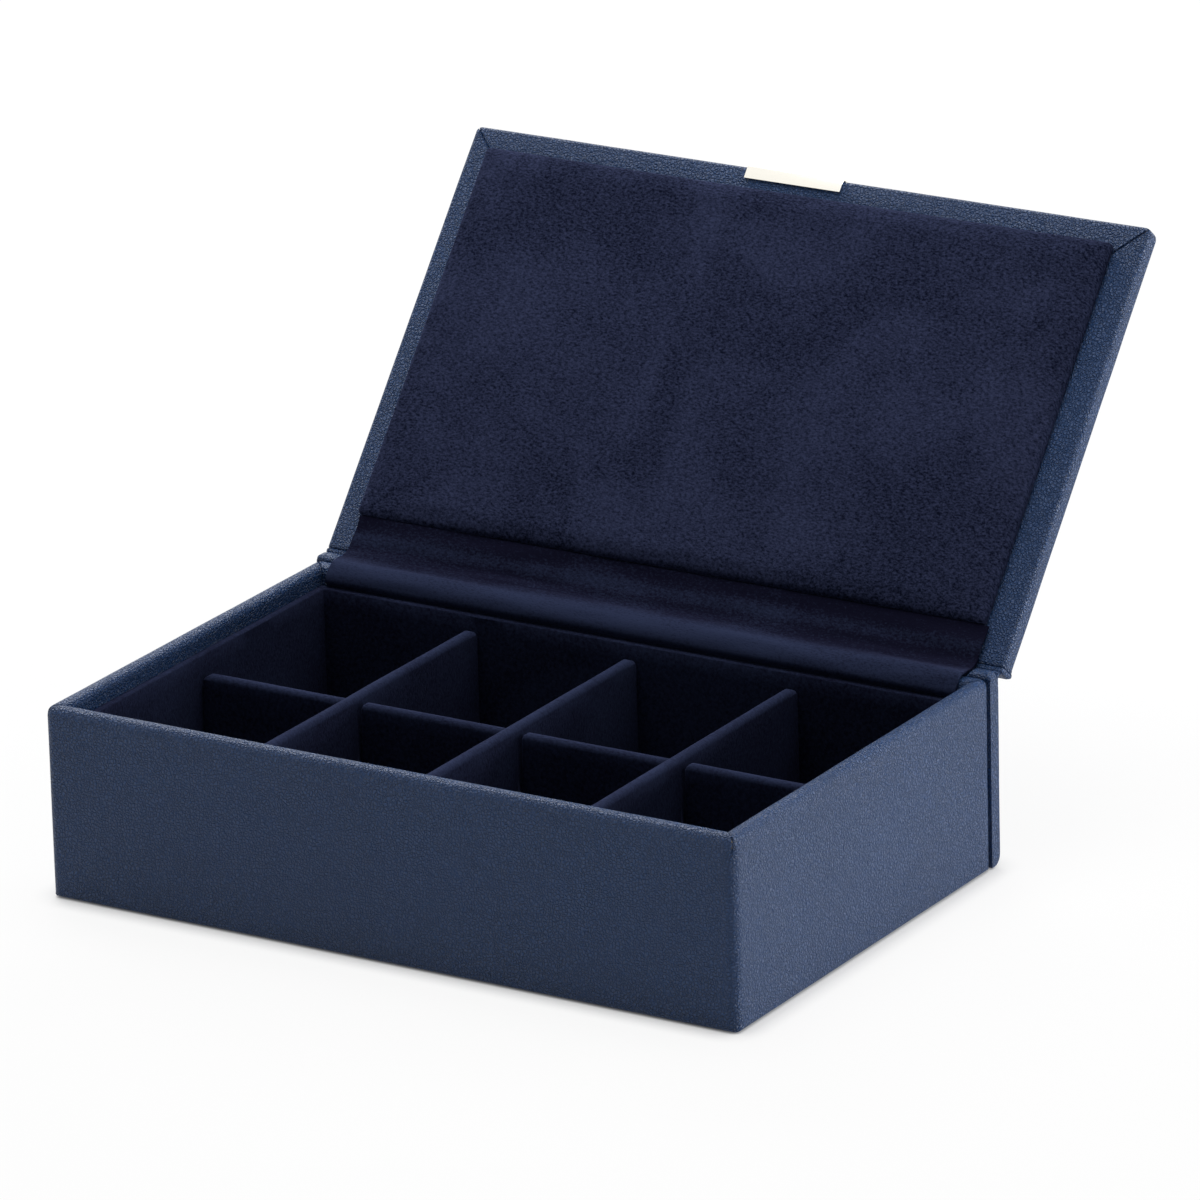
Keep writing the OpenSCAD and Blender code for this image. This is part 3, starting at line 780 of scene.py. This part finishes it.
def arc(centre, radius, start, stop, steps):
    """Points along an arc in (y, z), with angles in radians."""
    return [
        (centre[0] + radius * math.cos(start + (stop - start) * i / steps),
         centre[1] + radius * math.sin(start + (stop - start) * i / steps))
        for i in range(steps + 1)
    ]


def swung(y, z):
    """Where a point of the closed lid lies, in (y, z), when the lid stands open."""
    place = TO_OPEN @ Vector((0, y, z))
    return place.y, place.z


def joint_path(cover):
    """The joint's leather: up the spine, over in a fold, and round the lid's back edge."""
    half = cover.thickness / 2
    fold = cover.fold_round
    turn = cover.lid_back_round
    line_y = SPINE_HIGH.y - half
    on_edge = swung(LID_BACK + half, LID_LOW.z)
    fold_y = line_y + fold
    fold_z = on_edge[1] - (fold + (fold_y - on_edge[0]) * math.cos(LEAN)) / math.sin(LEAN)
    centre = swung(LID_BACK + cover.thickness - turn, LID_HIGH.z - turn)
    return (
        [(line_y, JOINT_LOW.z)]
        + arc((fold_y, fold_z), fold, math.pi, LEAN, 12)
        + arc(centre, turn - half + SHEET_GAP, -OPEN_ANGLE, math.pi / 2 - OPEN_ANGLE, 8)
        + [swung(LID_BACK - cover.joint_lap, LID_HIGH.z - half + SHEET_GAP)]
    )


def strip_sweep(suede):
    """The sweep in which the suede strip leaves the rim for the lid."""
    lift = suede.strip_t / 2 + SHEET_GAP
    radius = suede.strip_sweep
    top = TRAY_HIGH.z + lift
    on_lid = swung(LID_BACK, LID_LOW.z - lift)
    meet = on_lid[0] + (top - on_lid[1]) * math.cos(LEAN) / math.sin(LEAN)
    return arc((meet - radius * math.tan(LEAN / 2), top + radius), radius,
               -math.pi / 2, -math.pi / 2 + LEAN, 8)


def suede_path(suede):
    """The suede strip: up behind the back lining, over the rim and up the lid to the pad."""
    lift = suede.strip_t / 2 + SHEET_GAP
    bulge = suede.strip_bulge
    wall_face = TRAY_HIGH.y - WALL_T
    front = wall_face - lift
    crest = (front - suede.strip_stand + bulge, TRAY_HIGH.z + lift - bulge)
    return spread(
        [(front, STRIP_LOW.z), (front, LINING_HIGH.z - SLACK)]
        + arc(crest, bulge, math.pi, math.pi / 2, 10)
        + strip_sweep(suede)
        + [swung(PAD_HIGH.y + SLACK, LID_LOW.z - lift)], 1 * MM)


def spread(path, step):
    """A path with more points, none further apart than a step."""
    points = [path[0]]
    for a, b in zip(path, path[1:]):
        count = math.ceil(math.dist(a, b) / step)
        points += [(a[0] + (b[0] - a[0]) * i / count, a[1] + (b[1] - a[1]) * i / count)
                   for i in range(1, count + 1)]
    return points


def path_length(path):
    """The length of a path of points."""
    return sum(math.dist(a, b) for a, b in zip(path, path[1:]))


# Painted light and shade along the strip, from its lower edge to the pad: the share of its length,
# and how far its colour is lightened or darkened. A painted highlight lightens the roll over the
# rim, painted shade darkens the fold, and a painted shadow darkens it under the pad's edge.
STRIP_PAINTED_LIGHT = ((0, 0.2), (0.19, 0.3), (0.25, 0.5), (0.37, 0.42), (0.43, 0.1), (0.48, -0.22),
             (0.55, -0.38), (0.7, -0.38), (0.75, 0), (0.81, 0), (0.86, -0.36), (0.9, -0.5),
             (1, -0.5))


def strip_painted_light(path):
    """The painted light or shade on the strip at a point, by its place along the path."""
    whole = path_length(path)
    shares = [path_length(path[:i + 1]) / whole for i in range(len(path))]

    def painted_light(p):
        nearest = min(range(len(path)), key=lambda i: math.dist(path[i], (p.y, p.z)))
        share = shares[nearest]
        (a, low), (b, high) = next(pair for pair in zip(STRIP_PAINTED_LIGHT, STRIP_PAINTED_LIGHT[1:])
                                   if share <= pair[1][0] + 1e-9)
        return low + (high - low) * (share - a) / (b - a)

    return painted_light


def paint_light_and_shade(obj, painted_light):
    """Stores on each point of a suede piece how much painted light or shade lightens or darkens it
    there.
    """
    stored = obj.data.attributes.new("Lay", "FLOAT", "POINT")
    for v in obj.data.vertices:
        stored.data[v.index].value = painted_light(v.co)


class BOX_OT_spine(Operator):
    """Covers the spine board in leather, with room at its top for the joint's leather"""

    bl_idname = "cufflink_box.spine"
    bl_label = "Spine cover"

    def execute(self, context):
        cover = context.scene.box_cover
        low, high = SPINE_LOW, SPINE_HIGH
        recess = high.y - cover.thickness
        obj = add_block("spine_cover", low, (high.x, high.y, JOINT_LOW.z))
        edit(obj)
        cut(1, recess)
        select("EDGE", lambda p, d: abs(p.y - recess) < TOUCH and p.z < JOINT_LOW.z - TOUCH)
        bpy.ops.mesh.dissolve_edges(use_verts=False)
        select("FACE", lambda p, n: n.z > 0.9 and p.y < recess)
        bpy.ops.mesh.extrude_region_move(
            TRANSFORM_OT_translate={"value": (0, 0, high.z - JOINT_LOW.z)})
        bpy.ops.mesh.select_mode(type="VERT")
        bpy.ops.mesh.select_all(action="SELECT")
        bpy.ops.mesh.dissolve_limited(angle_limit=math.radians(1))
        done()
        round_edges(obj, [
            (cover.spine_foot_round,
             lambda p, d: p.z < low.z + TOUCH and p.y > high.y - TOUCH and abs(d.x) > 0.9),
            (cover.spine_round, lambda p, d: abs(p.z - high.z) < TOUCH and abs(d.x) > 0.9),
        ], 5)
        round_edges(obj, [
            (cover.spine_side_round,
             lambda p, d: abs(abs(p.x) - high.x) < TOUCH and p.y < low.y + TOUCH),
            (cover.spine_round, lambda p, d: abs(abs(p.x) - high.x) < TOUCH),
        ], 4)
        make_soft(obj, (0, 2), cover.slice_step, cover.leather_wave, BROAD_WAVES, 2)
        add_piece(obj, "tray", "navy_leather", finish("Pebbled leather"), "spine_leather")
        return {"FINISHED"}


class BOX_OT_joint(Operator):
    """Adds the leather and the suede that bend across the hinge"""

    bl_idname = "cufflink_box.joint"
    bl_label = "Soft joint"

    def execute(self, context):
        cover, suede = context.scene.box_cover, context.scene.box_suede
        path = joint_path(cover)
        outer = add_strip("joint_leather", path, TRAY_HIGH.x - TRAY_LOW.x)
        slice_mesh(outer, 0, cover.slice_step)
        modify(outer, "SOLIDIFY", thickness=cover.thickness, offset=0)
        face_outwards(outer)
        smooth(outer, 60)
        add_piece(outer, None, "navy_leather", finish("Pebbled leather"), "hinge_leather")
        bend = {"start": (0, *path[4]), "end": (0, *path[-5])}
        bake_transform(outer)
        for side, name in ((-1, "left"), (1, "right")):
            roll = self.roll(f"{name}_joint_roll", side, cover)
            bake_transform(roll)
            self.end_band(f"{name}_joint_end", side, cover)

        path = suede_path(suede)
        inner = add_strip("joint_suede", path, STRIP_HIGH.x - STRIP_LOW.x)
        slice_mesh(inner, 0, cover.slice_step)
        wave(inner, suede.strip_creases, 0.0035, 16, stretch=7, middle=0,
             moves=lambda p: p.z > LINING_HIGH.z + 1 * MM)
        modify(inner, "SOLIDIFY", thickness=suede.strip_t, offset=0)
        face_outwards(inner)
        smooth(inner, 60)
        # Paints light and shade onto the strip: a highlight on the roll, shade in the fold, a
        # shadow under the pad.
        paint_light_and_shade(inner, strip_painted_light(path))
        add_piece(inner, None, "navy_suede", finish("Navy suede"), "hinge_suede")
        path_length(path)
        sweep = strip_sweep(suede)
        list(sweep[0])
        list(sweep[-2])
        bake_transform(inner)
        return {"FINISHED"}

    def roll(self, name, side, cover):
        """Turns the joint's leather over into a soft roll beside the suede strip."""
        ends = sorted((side * (STRIP_HIGH.x + 2 * SLACK), side * TRAY_HIGH.x))
        low = (ends[0], TRAY_HIGH.y - 2 * SLACK, TRAY_HIGH.z - SLACK)
        high = (ends[1], SPINE_HIGH.y - cover.thickness / 2, JOINT_HIGH.z)
        obj = add_block(name, low, high)
        round_edges(obj, [
            (cover.roll_round, lambda p, d: p.z > high[2] - TOUCH),
            (cover.roll_round, lambda p, d: abs(d.z) > 0.9),
        ], 6)
        make_soft(obj, (0, 1, 2), FINE_STEP, cover.leather_wave * 2, FINE_WAVES, 17 + side, 80)
        add_piece(obj, None, "navy_leather", finish("Pebbled leather"), "hinge_leather")
        return obj

    def end_band(self, name, side, cover):
        """Carries the joint's leather round the lid's back edge in a thick soft band."""
        ends = sorted((side * (STRIP_HIGH.x - 1 * MM), side * LID_HIGH.x))
        low = (ends[0], LID_BACK - cover.end_band, LID_LOW.z)
        high = (ends[1], LID_BACK + cover.thickness - SHEET_GAP, LID_HIGH.z)
        obj = add_block(name, low, high)
        round_edges(obj, [
            (cover.lap_round, lambda p, d: p.y < low[1] + TOUCH),
            (cover.lid_back_round, lambda p, d: p.z > high[2] - TOUCH and abs(d.x) > 0.9),
            (cover.roll_round * 0.7, lambda p, d: True),
        ], 6)
        make_soft(obj, (0, 1, 2), FINE_STEP, cover.leather_wave * 2, FINE_WAVES, 21 + side, 80)
        swing_open(obj)
        add_piece(obj, "lid", "navy_leather", finish("Pebbled leather"), "hinge_leather")


class BOX_OT_lid_cover(Operator):
    """Covers the lid in leather, turned in round three edges with mitred corners"""

    bl_idname = "cufflink_box.lid_cover"
    bl_label = "Lid cover"

    def execute(self, context):
        cover = context.scene.box_cover
        low, high = LID_LOW.copy(), LID_HIGH.copy()
        high.y = LID_BACK - cover.end_band
        obj = add_block("lid_cover", low, high)
        edit(obj)
        select("FACE", lambda p, n: n.z < -0.9)
        bpy.ops.mesh.inset(thickness=cover.turn_under, depth=0)
        bpy.ops.mesh.delete(type="FACE")
        done()

        def on_side(p):
            return abs(abs(p.x) - high.x) < TOUCH or p.y < low.y + TOUCH

        def at_back(p):
            return p.y > high.y - TOUCH

        round_edges(obj, [
            (cover.lap_round, lambda p, d: at_back(p) and abs(d.x) > 0.9),
            (cover.lid_round, lambda p, d: on_side(p) and p.z > high.z - TOUCH and abs(d.z) < 0.1),
            (cover.lid_inner_round,
             lambda p, d: on_side(p) and p.z < low.z + TOUCH and abs(d.z) < 0.1),
            (cover.lid_corner_round, lambda p, d: abs(d.z) > 0.9 and p.y < low.y + TOUCH),
            (cover.thickness, lambda p, d: abs(d.z) > 0.9 and at_back(p)),
        ], 5)
        self.make_room(obj, cover)
        face_outwards(obj)
        for axis in (0, 1):
            slice_mesh(obj, axis, cover.slice_step)
        for side in (-1, 1):
            press_mitre(obj, (side * high.x, low.y, 0), (-side, 1),
                        lambda p: p.z < low.z + 2 * MM, cover)
        wave(obj, cover.leather_wave, BROAD_WAVES, 3)
        modify(obj, "SOLIDIFY", thickness=cover.thickness, offset=-1)
        swing_open(obj)
        smooth(obj)
        add_piece(obj, "lid", "navy_leather", finish("Pebbled leather"), "lid_leather")
        return {"FINISHED"}

    def make_room(self, obj, cover):
        """Opens the cover's outer face along the back, where the joint's leather laps it."""
        side, lap = TRAY_HIGH.x, LID_BACK - cover.joint_lap
        edit(obj)
        for axis, place in ((0, side), (0, -side), (1, lap)):
            cut(axis, place)
        select("FACE", lambda p, n: abs(p.x) < side and p.y > lap and n.z > 0.02)
        bpy.ops.mesh.delete(type="FACE")
        done()


def inflate(obj, voxel, pressure, cap, pinned):
    """Swells a piece like padded fabric: cloth under pressure, each point held within a cap."""
    work_on(obj)
    obj.data.remesh_voxel_size = voxel
    obj.data.remesh_voxel_adaptivity = 0
    bpy.ops.object.voxel_remesh()
    start = [v.co.copy() for v in obj.data.vertices]
    held = obj.vertex_groups.new(name="held")
    held.add([v.index for v in obj.data.vertices if pinned(v.co)], 1, "ADD")
    cloth = obj.modifiers.new("Cloth", "CLOTH")
    settings = cloth.settings
    settings.quality = 6
    settings.mass = 0.2
    settings.tension_stiffness = settings.compression_stiffness = 20
    settings.bending_stiffness = 2
    settings.use_pressure = True
    settings.uniform_pressure_force = pressure
    settings.vertex_group_mass = "held"
    settings.effector_weights.gravity = 0
    cloth.point_cache.frame_start, cloth.point_cache.frame_end = 1, 20
    for number in range(1, 21):
        bpy.context.scene.frame_set(number)
    bpy.ops.object.modifier_apply(modifier=cloth.name)
    bpy.context.scene.frame_set(1)
    for vertex, origin in zip(obj.data.vertices, start):
        move = vertex.co - origin
        if move.length > cap:
            vertex.co = origin + move * (cap / move.length)


class BOX_OT_lid_pad(Operator):
    """Pads the lid: suede over thin foam, swelling a little between its edges"""

    bl_idname = "cufflink_box.lid_pad"
    bl_label = "Lid pad"

    def execute(self, context):
        cover, suede = context.scene.box_cover, context.scene.box_suede
        low, high = PAD_LOW.copy(), PAD_HIGH.copy()
        low.z += suede.pad_rise
        obj = add_block("lid_pad", low, high)
        round_edges(obj, [
            (suede.pad_edge, lambda p, d: p.z < low.z + TOUCH),
            (suede.pad_corner, lambda p, d: abs(d.z) > 0.9),
        ], 4)
        face_outwards(obj)
        for axis in (0, 1):
            slice_mesh(obj, axis, cover.slice_step / 2)
        wave(obj, suede.suede_wave, 0.03, 4)
        inflate(obj, PAD_VOXEL, 4.0, suede.pad_rise, lambda p: p.z > high.z - PAD_HELD)
        swing_open(obj)
        smooth(obj, 80)
        add_piece(obj, "lid", "navy_suede", finish("Pad suede"), "pad_suede", "pad_foam")
        return {"FINISHED"}


def lining_panel(name, inward, cover, suede, seed):
    """A suede-covered panel against one wall, with a soft top edge towards the inside."""
    node = f"{name}_suede"
    low, high = open_box(node)
    obj = add_block(name, low, high)
    axis = 0 if inward[0] else 1
    face = (high if inward[axis] > 0 else low)[axis]
    round_edges(obj, [
        (suede.edge_round, lambda p, d: p.z > high.z - TOUCH and abs(p[axis] - face) < TOUCH),
        (suede.edge_round * 0.4, lambda p, d: p.z > high.z - TOUCH),
    ], 4)
    make_soft(obj, (1 - axis, 2), cover.slice_step, suede.suede_wave * 0.5, 25 * MM, seed)
    add_piece(obj, "tray", "navy_suede", finish("Navy suede"), node)


class BOX_OT_linings(Operator):
    """Lines the tray's walls and floor with suede panels"""

    bl_idname = "cufflink_box.linings"
    bl_label = "Linings"

    def execute(self, context):
        cover, suede = context.scene.box_cover, context.scene.box_suede
        walls = {"front": (0, 1), "back": (0, -1), "left": (1, 0), "right": (-1, 0)}
        for seed, (wall, inward) in enumerate(walls.items(), start=5):
            lining_panel(f"{wall}_lining", inward, cover, suede, seed)
        obj = add_block("floor_lining", FLOOR_LOW, FLOOR_HIGH)
        round_edges(obj, [(suede.floor_round, lambda p, d: p.z > FLOOR_HIGH.z - TOUCH)], 3)
        make_soft(obj, (0, 1), cover.slice_step, suede.suede_wave * 0.5, 30 * MM, 9)
        add_piece(obj, "tray", "navy_suede", finish("Navy suede"), "floor_suede")
        return {"FINISHED"}


def comb(name, along, slots, rise, slot_z, context, seed):
    """A halved divider. rise is True where its slots open upwards.

    along is the axis that it runs along, and slots are their low and high ends.
    """
    cover, suede = context.scene.box_cover, context.scene.box_suede
    node = f"{name}_suede"
    low, high = open_box(node)
    band_low, band_high = low.copy(), high.copy()
    (band_high if rise else band_low).z = slot_z
    obj = add_block(name, band_low, band_high)
    ends = (low[along], high[along])
    sides = [side for slot in slots for side in slot]
    edit(obj)
    for side in sides:
        cut(along, side)
    facing = 1 if rise else -1
    select("FACE", lambda p, n: n.z * facing > 0.9
           and not any(a < p[along] < b for a, b in slots))
    reach = (high if rise else low).z - slot_z
    bpy.ops.mesh.extrude_region_move(TRANSFORM_OT_translate={"value": (0, 0, reach)})
    done()

    def at(p, places):
        return any(abs(p[along] - place) < TOUCH for place in places)

    def on_top(p, d, axis):
        return p.z > high.z - TOUCH and abs(d[axis]) > 0.9

    round_edges(obj, [
        (suede.divider_corner, lambda p, d: on_top(p, d, 1 - along) and at(p, ends)),
        (suede.slot_corner, lambda p, d: on_top(p, d, 1 - along) and at(p, sides)),
        (suede.divider_round, lambda p, d: on_top(p, d, along)),
        (suede.divider_end, lambda p, d: abs(d.z) > 0.9 and at(p, [*ends, *sides])),
    ], 6)
    make_soft(obj, (along, 2), cover.slice_step, suede.suede_wave, BROAD_WAVES, seed, 50)
    # Painted light: the rounded tops of the dividers are lightened where light from above falls on
    # them.
    lit_from = high.z - suede.divider_round
    paint_light_and_shade(obj, lambda p: suede.divider_top_light if p.z > lit_from else 0)
    add_piece(obj, "tray", "navy_suede", finish("Navy suede"), node)


class BOX_OT_dividers(Operator):
    """Adds the suede-covered dividers, halved into each other"""

    bl_idname = "cufflink_box.dividers"
    bl_label = "Dividers"

    def execute(self, context):
        names = ("left_divider", "middle_divider", "right_divider")
        crosses = [open_box(f"{name}_suede") for name in names]
        long_low, long_high = open_box("long_divider_suede")
        slot_z = (FLOOR_HIGH.z + crosses[0][1].z) / 2
        slots = [(low.x - SLACK, high.x + SLOT_GAP) for low, high in crosses]
        comb("long_divider", 0, slots, True, slot_z, context, 11)
        slots = [(long_low.y - SLACK, long_high.y + SLACK)]
        for seed, name in enumerate(names, start=12):
            comb(name, 1, slots, False, slot_z, context, seed)
        return {"FINISHED"}


class BOX_OT_clip(Operator):
    """Bends the metal clip over the lid's front edge"""

    bl_idname = "cufflink_box.clip"
    bl_label = "Opening clip"

    def execute(self, context):
        cover = context.scene.box_cover
        low, high = CLIP_LOW, CLIP_HIGH
        metal = LID_LOW.z - low.z
        half = metal / 2
        bend = half + cover.clip_bend
        y, inner_z, outer_z = low.y + half, low.z + half, high.z - half
        path = (
            [(LID_LOW.y + cover.clip_leg, inner_z)]
            + arc((y + bend, inner_z + bend), bend, 1.5 * math.pi, math.pi, 8)
            + arc((y + bend, outer_z - bend), bend, math.pi, 0.5 * math.pi, 8)
            + [(high.y, outer_z)]
        )
        obj = add_strip("clip", path, high.x - low.x)
        work_on(obj)
        obj.location.x = (low.x + high.x) / 2
        bpy.ops.object.transform_apply(location=True, rotation=True, scale=True)
        modify(obj, "SOLIDIFY", thickness=metal, offset=0)
        face_outwards(obj)
        modify(obj, "BEVEL", width=0.1 * MM, segments=3, limit_method="ANGLE",
               angle_limit=math.radians(50))
        swing_open(obj)
        smooth(obj, 35)
        add_piece(obj, "lid", "clip_metal", finish("Polished clip metal"), "opening_clip")
        return {"FINISHED"}


class BOX_OT_inner_parts(Operator):
    """Finishes the boards, cards and papers that the covering hides"""

    bl_idname = "cufflink_box.inner_parts"
    bl_label = "Boards and cards"

    def execute(self, context):
        finishes = {"_board": "Grey board", "_card": "Lining card", "_foam": "Pad foam",
                    "_sheet": "Underside paper", "_leather": "Pebbled leather",
                    "_suede": "Navy suede", "_clip": "Polished clip metal"}
        for name, obj in frame["nodes"].items():
            ending = next(e for e in finishes if name.endswith(e))
            obj.data.materials.clear()
            obj.data.materials.append(finish(finishes[ending]))
        return {"FINISHED"}


# ---- stage ----------------------------------------------------------------


# The place of each lamp, and its width and height, in metres.
LAMPS = {
    "key": ((0.95, 0.85, 0.17), (1.0, 0.28)),
    "side": ((1.3, 0.2, 0.6), (0.9, 0.9)),
    "rim": ((-0.75, 0.8, 0.75), (0.9, 0.6)),
    "top": ((-0.1, 0.15, 1.1), (0.8, 0.8)),
}


def add_lamp(name, place, target, size, power):
    """Adds a soft square lamp that faces a point."""
    data = bpy.data.lights.new(name, "AREA")
    data.shape = "RECTANGLE"
    data.size, data.size_y = size
    data.energy = power
    lamp = bpy.data.objects.new(name, data)
    bpy.context.scene.collection.objects.link(lamp)
    lamp.location = place
    lamp.rotation_mode = "QUATERNION"
    lamp.rotation_quaternion = (Vector(target) - Vector(place)).to_track_quat("-Z", "Y")


def seen_directly(tree):
    """A mask of the rays that show a surface as a background."""
    path = tree.nodes.new("ShaderNodeLightPath")
    mirrored = maths(tree, "ADD", path.outputs["Is Glossy Ray"],
                     path.outputs["Is Transmission Ray"], clamp=True)
    return maths(tree, "ADD", path.outputs["Is Camera Ray"], mirrored, clamp=True)


class BOX_OT_stage(Operator):
    """Adds the floor, the lamps, the surroundings and the camera"""

    bl_idname = "cufflink_box.stage"
    bl_label = "Stage"

    def execute(self, context):
        stage = context.scene.box_stage
        self.floor(stage)
        self.surroundings(context.scene, stage)
        for name, (place, size) in LAMPS.items():
            add_lamp(f"{name} lamp", place, (0, 0, TRAY_HIGH.z), size,
                     getattr(stage, f"{name}_power"))
        self.camera(context.scene, stage)
        context.scene.view_settings.view_transform = "Standard"
        return {"FINISHED"}

    def floor(self, stage):
        bpy.ops.object.select_all(action="DESELECT")
        bpy.ops.mesh.primitive_plane_add(size=8, location=(0, 0, 0))
        floor = bpy.context.active_object
        floor.name = "floor"
        material, tree, shader, place = new_material("Pale floor")
        tree.nodes.remove(shader)
        out = next(n for n in tree.nodes if n.type == "OUTPUT_MATERIAL")
        matte = add_node(tree, "BsdfDiffuse", None, {"Color": (0.92, 0.92, 0.92, 1)})
        glow = add_node(tree, "Emission", None, {"Color": (1, 1, 1, 1), "Strength": 1.0})
        near = add_node(tree, "AmbientOcclusion", None, {"Distance": stage.contact})
        share = maths(tree, "MULTIPLY", near.outputs["AO"], 0.9)
        mix = add_node(tree, "MixShader", None, None,
                       {0: maths(tree, "MULTIPLY", seen_directly(tree), share),
                        1: matte.outputs["BSDF"], 2: glow.outputs["Emission"]})
        tree.links.new(mix.outputs["Shader"], out.inputs["Surface"])
        floor.data.materials.append(material)

    def surroundings(self, scene, stage):
        world = bpy.data.worlds.new("Studio")
        scene.world = world
        world.use_nodes = True
        tree = world.node_tree
        tree.nodes.clear()
        out = tree.nodes.new("ShaderNodeOutputWorld")
        even = add_node(tree, "Background", None,
                        {"Color": (1, 1, 1, 1), "Strength": stage.fill})
        white = add_node(tree, "Background", None, {"Color": (1, 1, 1, 1), "Strength": 1.0})
        mix = add_node(tree, "MixShader", None, None,
                       {0: seen_directly(tree), 1: even.outputs["Background"],
                        2: white.outputs["Background"]})
        tree.links.new(mix.outputs["Shader"], out.inputs["Surface"])

    def camera(self, scene, stage):
        azimuth, elevation = stage.azimuth, stage.elevation
        back = Vector((math.sin(azimuth) * math.cos(elevation),
                       -math.cos(azimuth) * math.cos(elevation), math.sin(elevation)))
        right = (-back).cross(Vector((0, 0, 1))).normalized()
        up = right.cross(-back)
        turned_right = math.cos(stage.roll) * right + math.sin(stage.roll) * up
        turned_up = -math.sin(stage.roll) * right + math.cos(stage.roll) * up
        data = bpy.data.cameras.new("camera")
        camera = bpy.data.objects.new("camera", data)
        scene.collection.objects.link(camera)
        turn = Matrix((turned_right, turned_up, back)).transposed().to_4x4()
        camera.matrix_world = Matrix.Translation(Vector(stage.camera_place)) @ turn
        data.sensor_width = 36
        data.lens = stage.lens
        data.clip_start, data.clip_end = 0.1, 50
        scene.camera = camera


class BOX_PT_panel(Panel):
    """Lists the steps that dress the box"""

    bl_idname = "BOX_PT_panel"
    bl_label = "Cufflink Box"
    bl_space_type = "VIEW_3D"
    bl_region_type = "UI"
    bl_category = "Cufflink Box"

    def draw(self, context):
        for settings in ("box_cover", "box_suede", "box_colours", "box_stage"):
            group = getattr(context.scene, settings)
            box = self.layout.box()
            for name in group.__annotations__:
                box.prop(group, name)
        for operator in OPERATORS:
            self.layout.operator(operator.bl_idname)


OPERATORS = (BOX_OT_inner_parts, BOX_OT_tray_cover, BOX_OT_spine, BOX_OT_lid_cover,
             BOX_OT_joint, BOX_OT_lid_pad, BOX_OT_linings, BOX_OT_dividers, BOX_OT_clip,
             BOX_OT_stage)
SETTINGS = {"box_cover": CoverSettings, "box_suede": SuedeSettings,
            "box_colours": ColourSettings, "box_stage": StageSettings}


def register():
    """Adds the settings, the operators and the panel."""
    for name, settings in SETTINGS.items():
        bpy.utils.register_class(settings)
        setattr(bpy.types.Scene, name, PointerProperty(type=settings))
    for operator in OPERATORS:
        bpy.utils.register_class(operator)
    bpy.utils.register_class(BOX_PT_panel)


def unregister():
    """Takes the settings, the operators and the panel away again."""
    bpy.utils.unregister_class(BOX_PT_panel)
    for operator in reversed(OPERATORS):
        bpy.utils.unregister_class(operator)
    for name, settings in SETTINGS.items():
        delattr(bpy.types.Scene, name)
        bpy.utils.unregister_class(settings)


def main():
    """Dresses the whole box."""
    register()
    for operator in OPERATORS:
        group, name = operator.bl_idname.split(".")
        getattr(getattr(bpy.ops, group), name)()


if __name__ == "__main__":
    main()
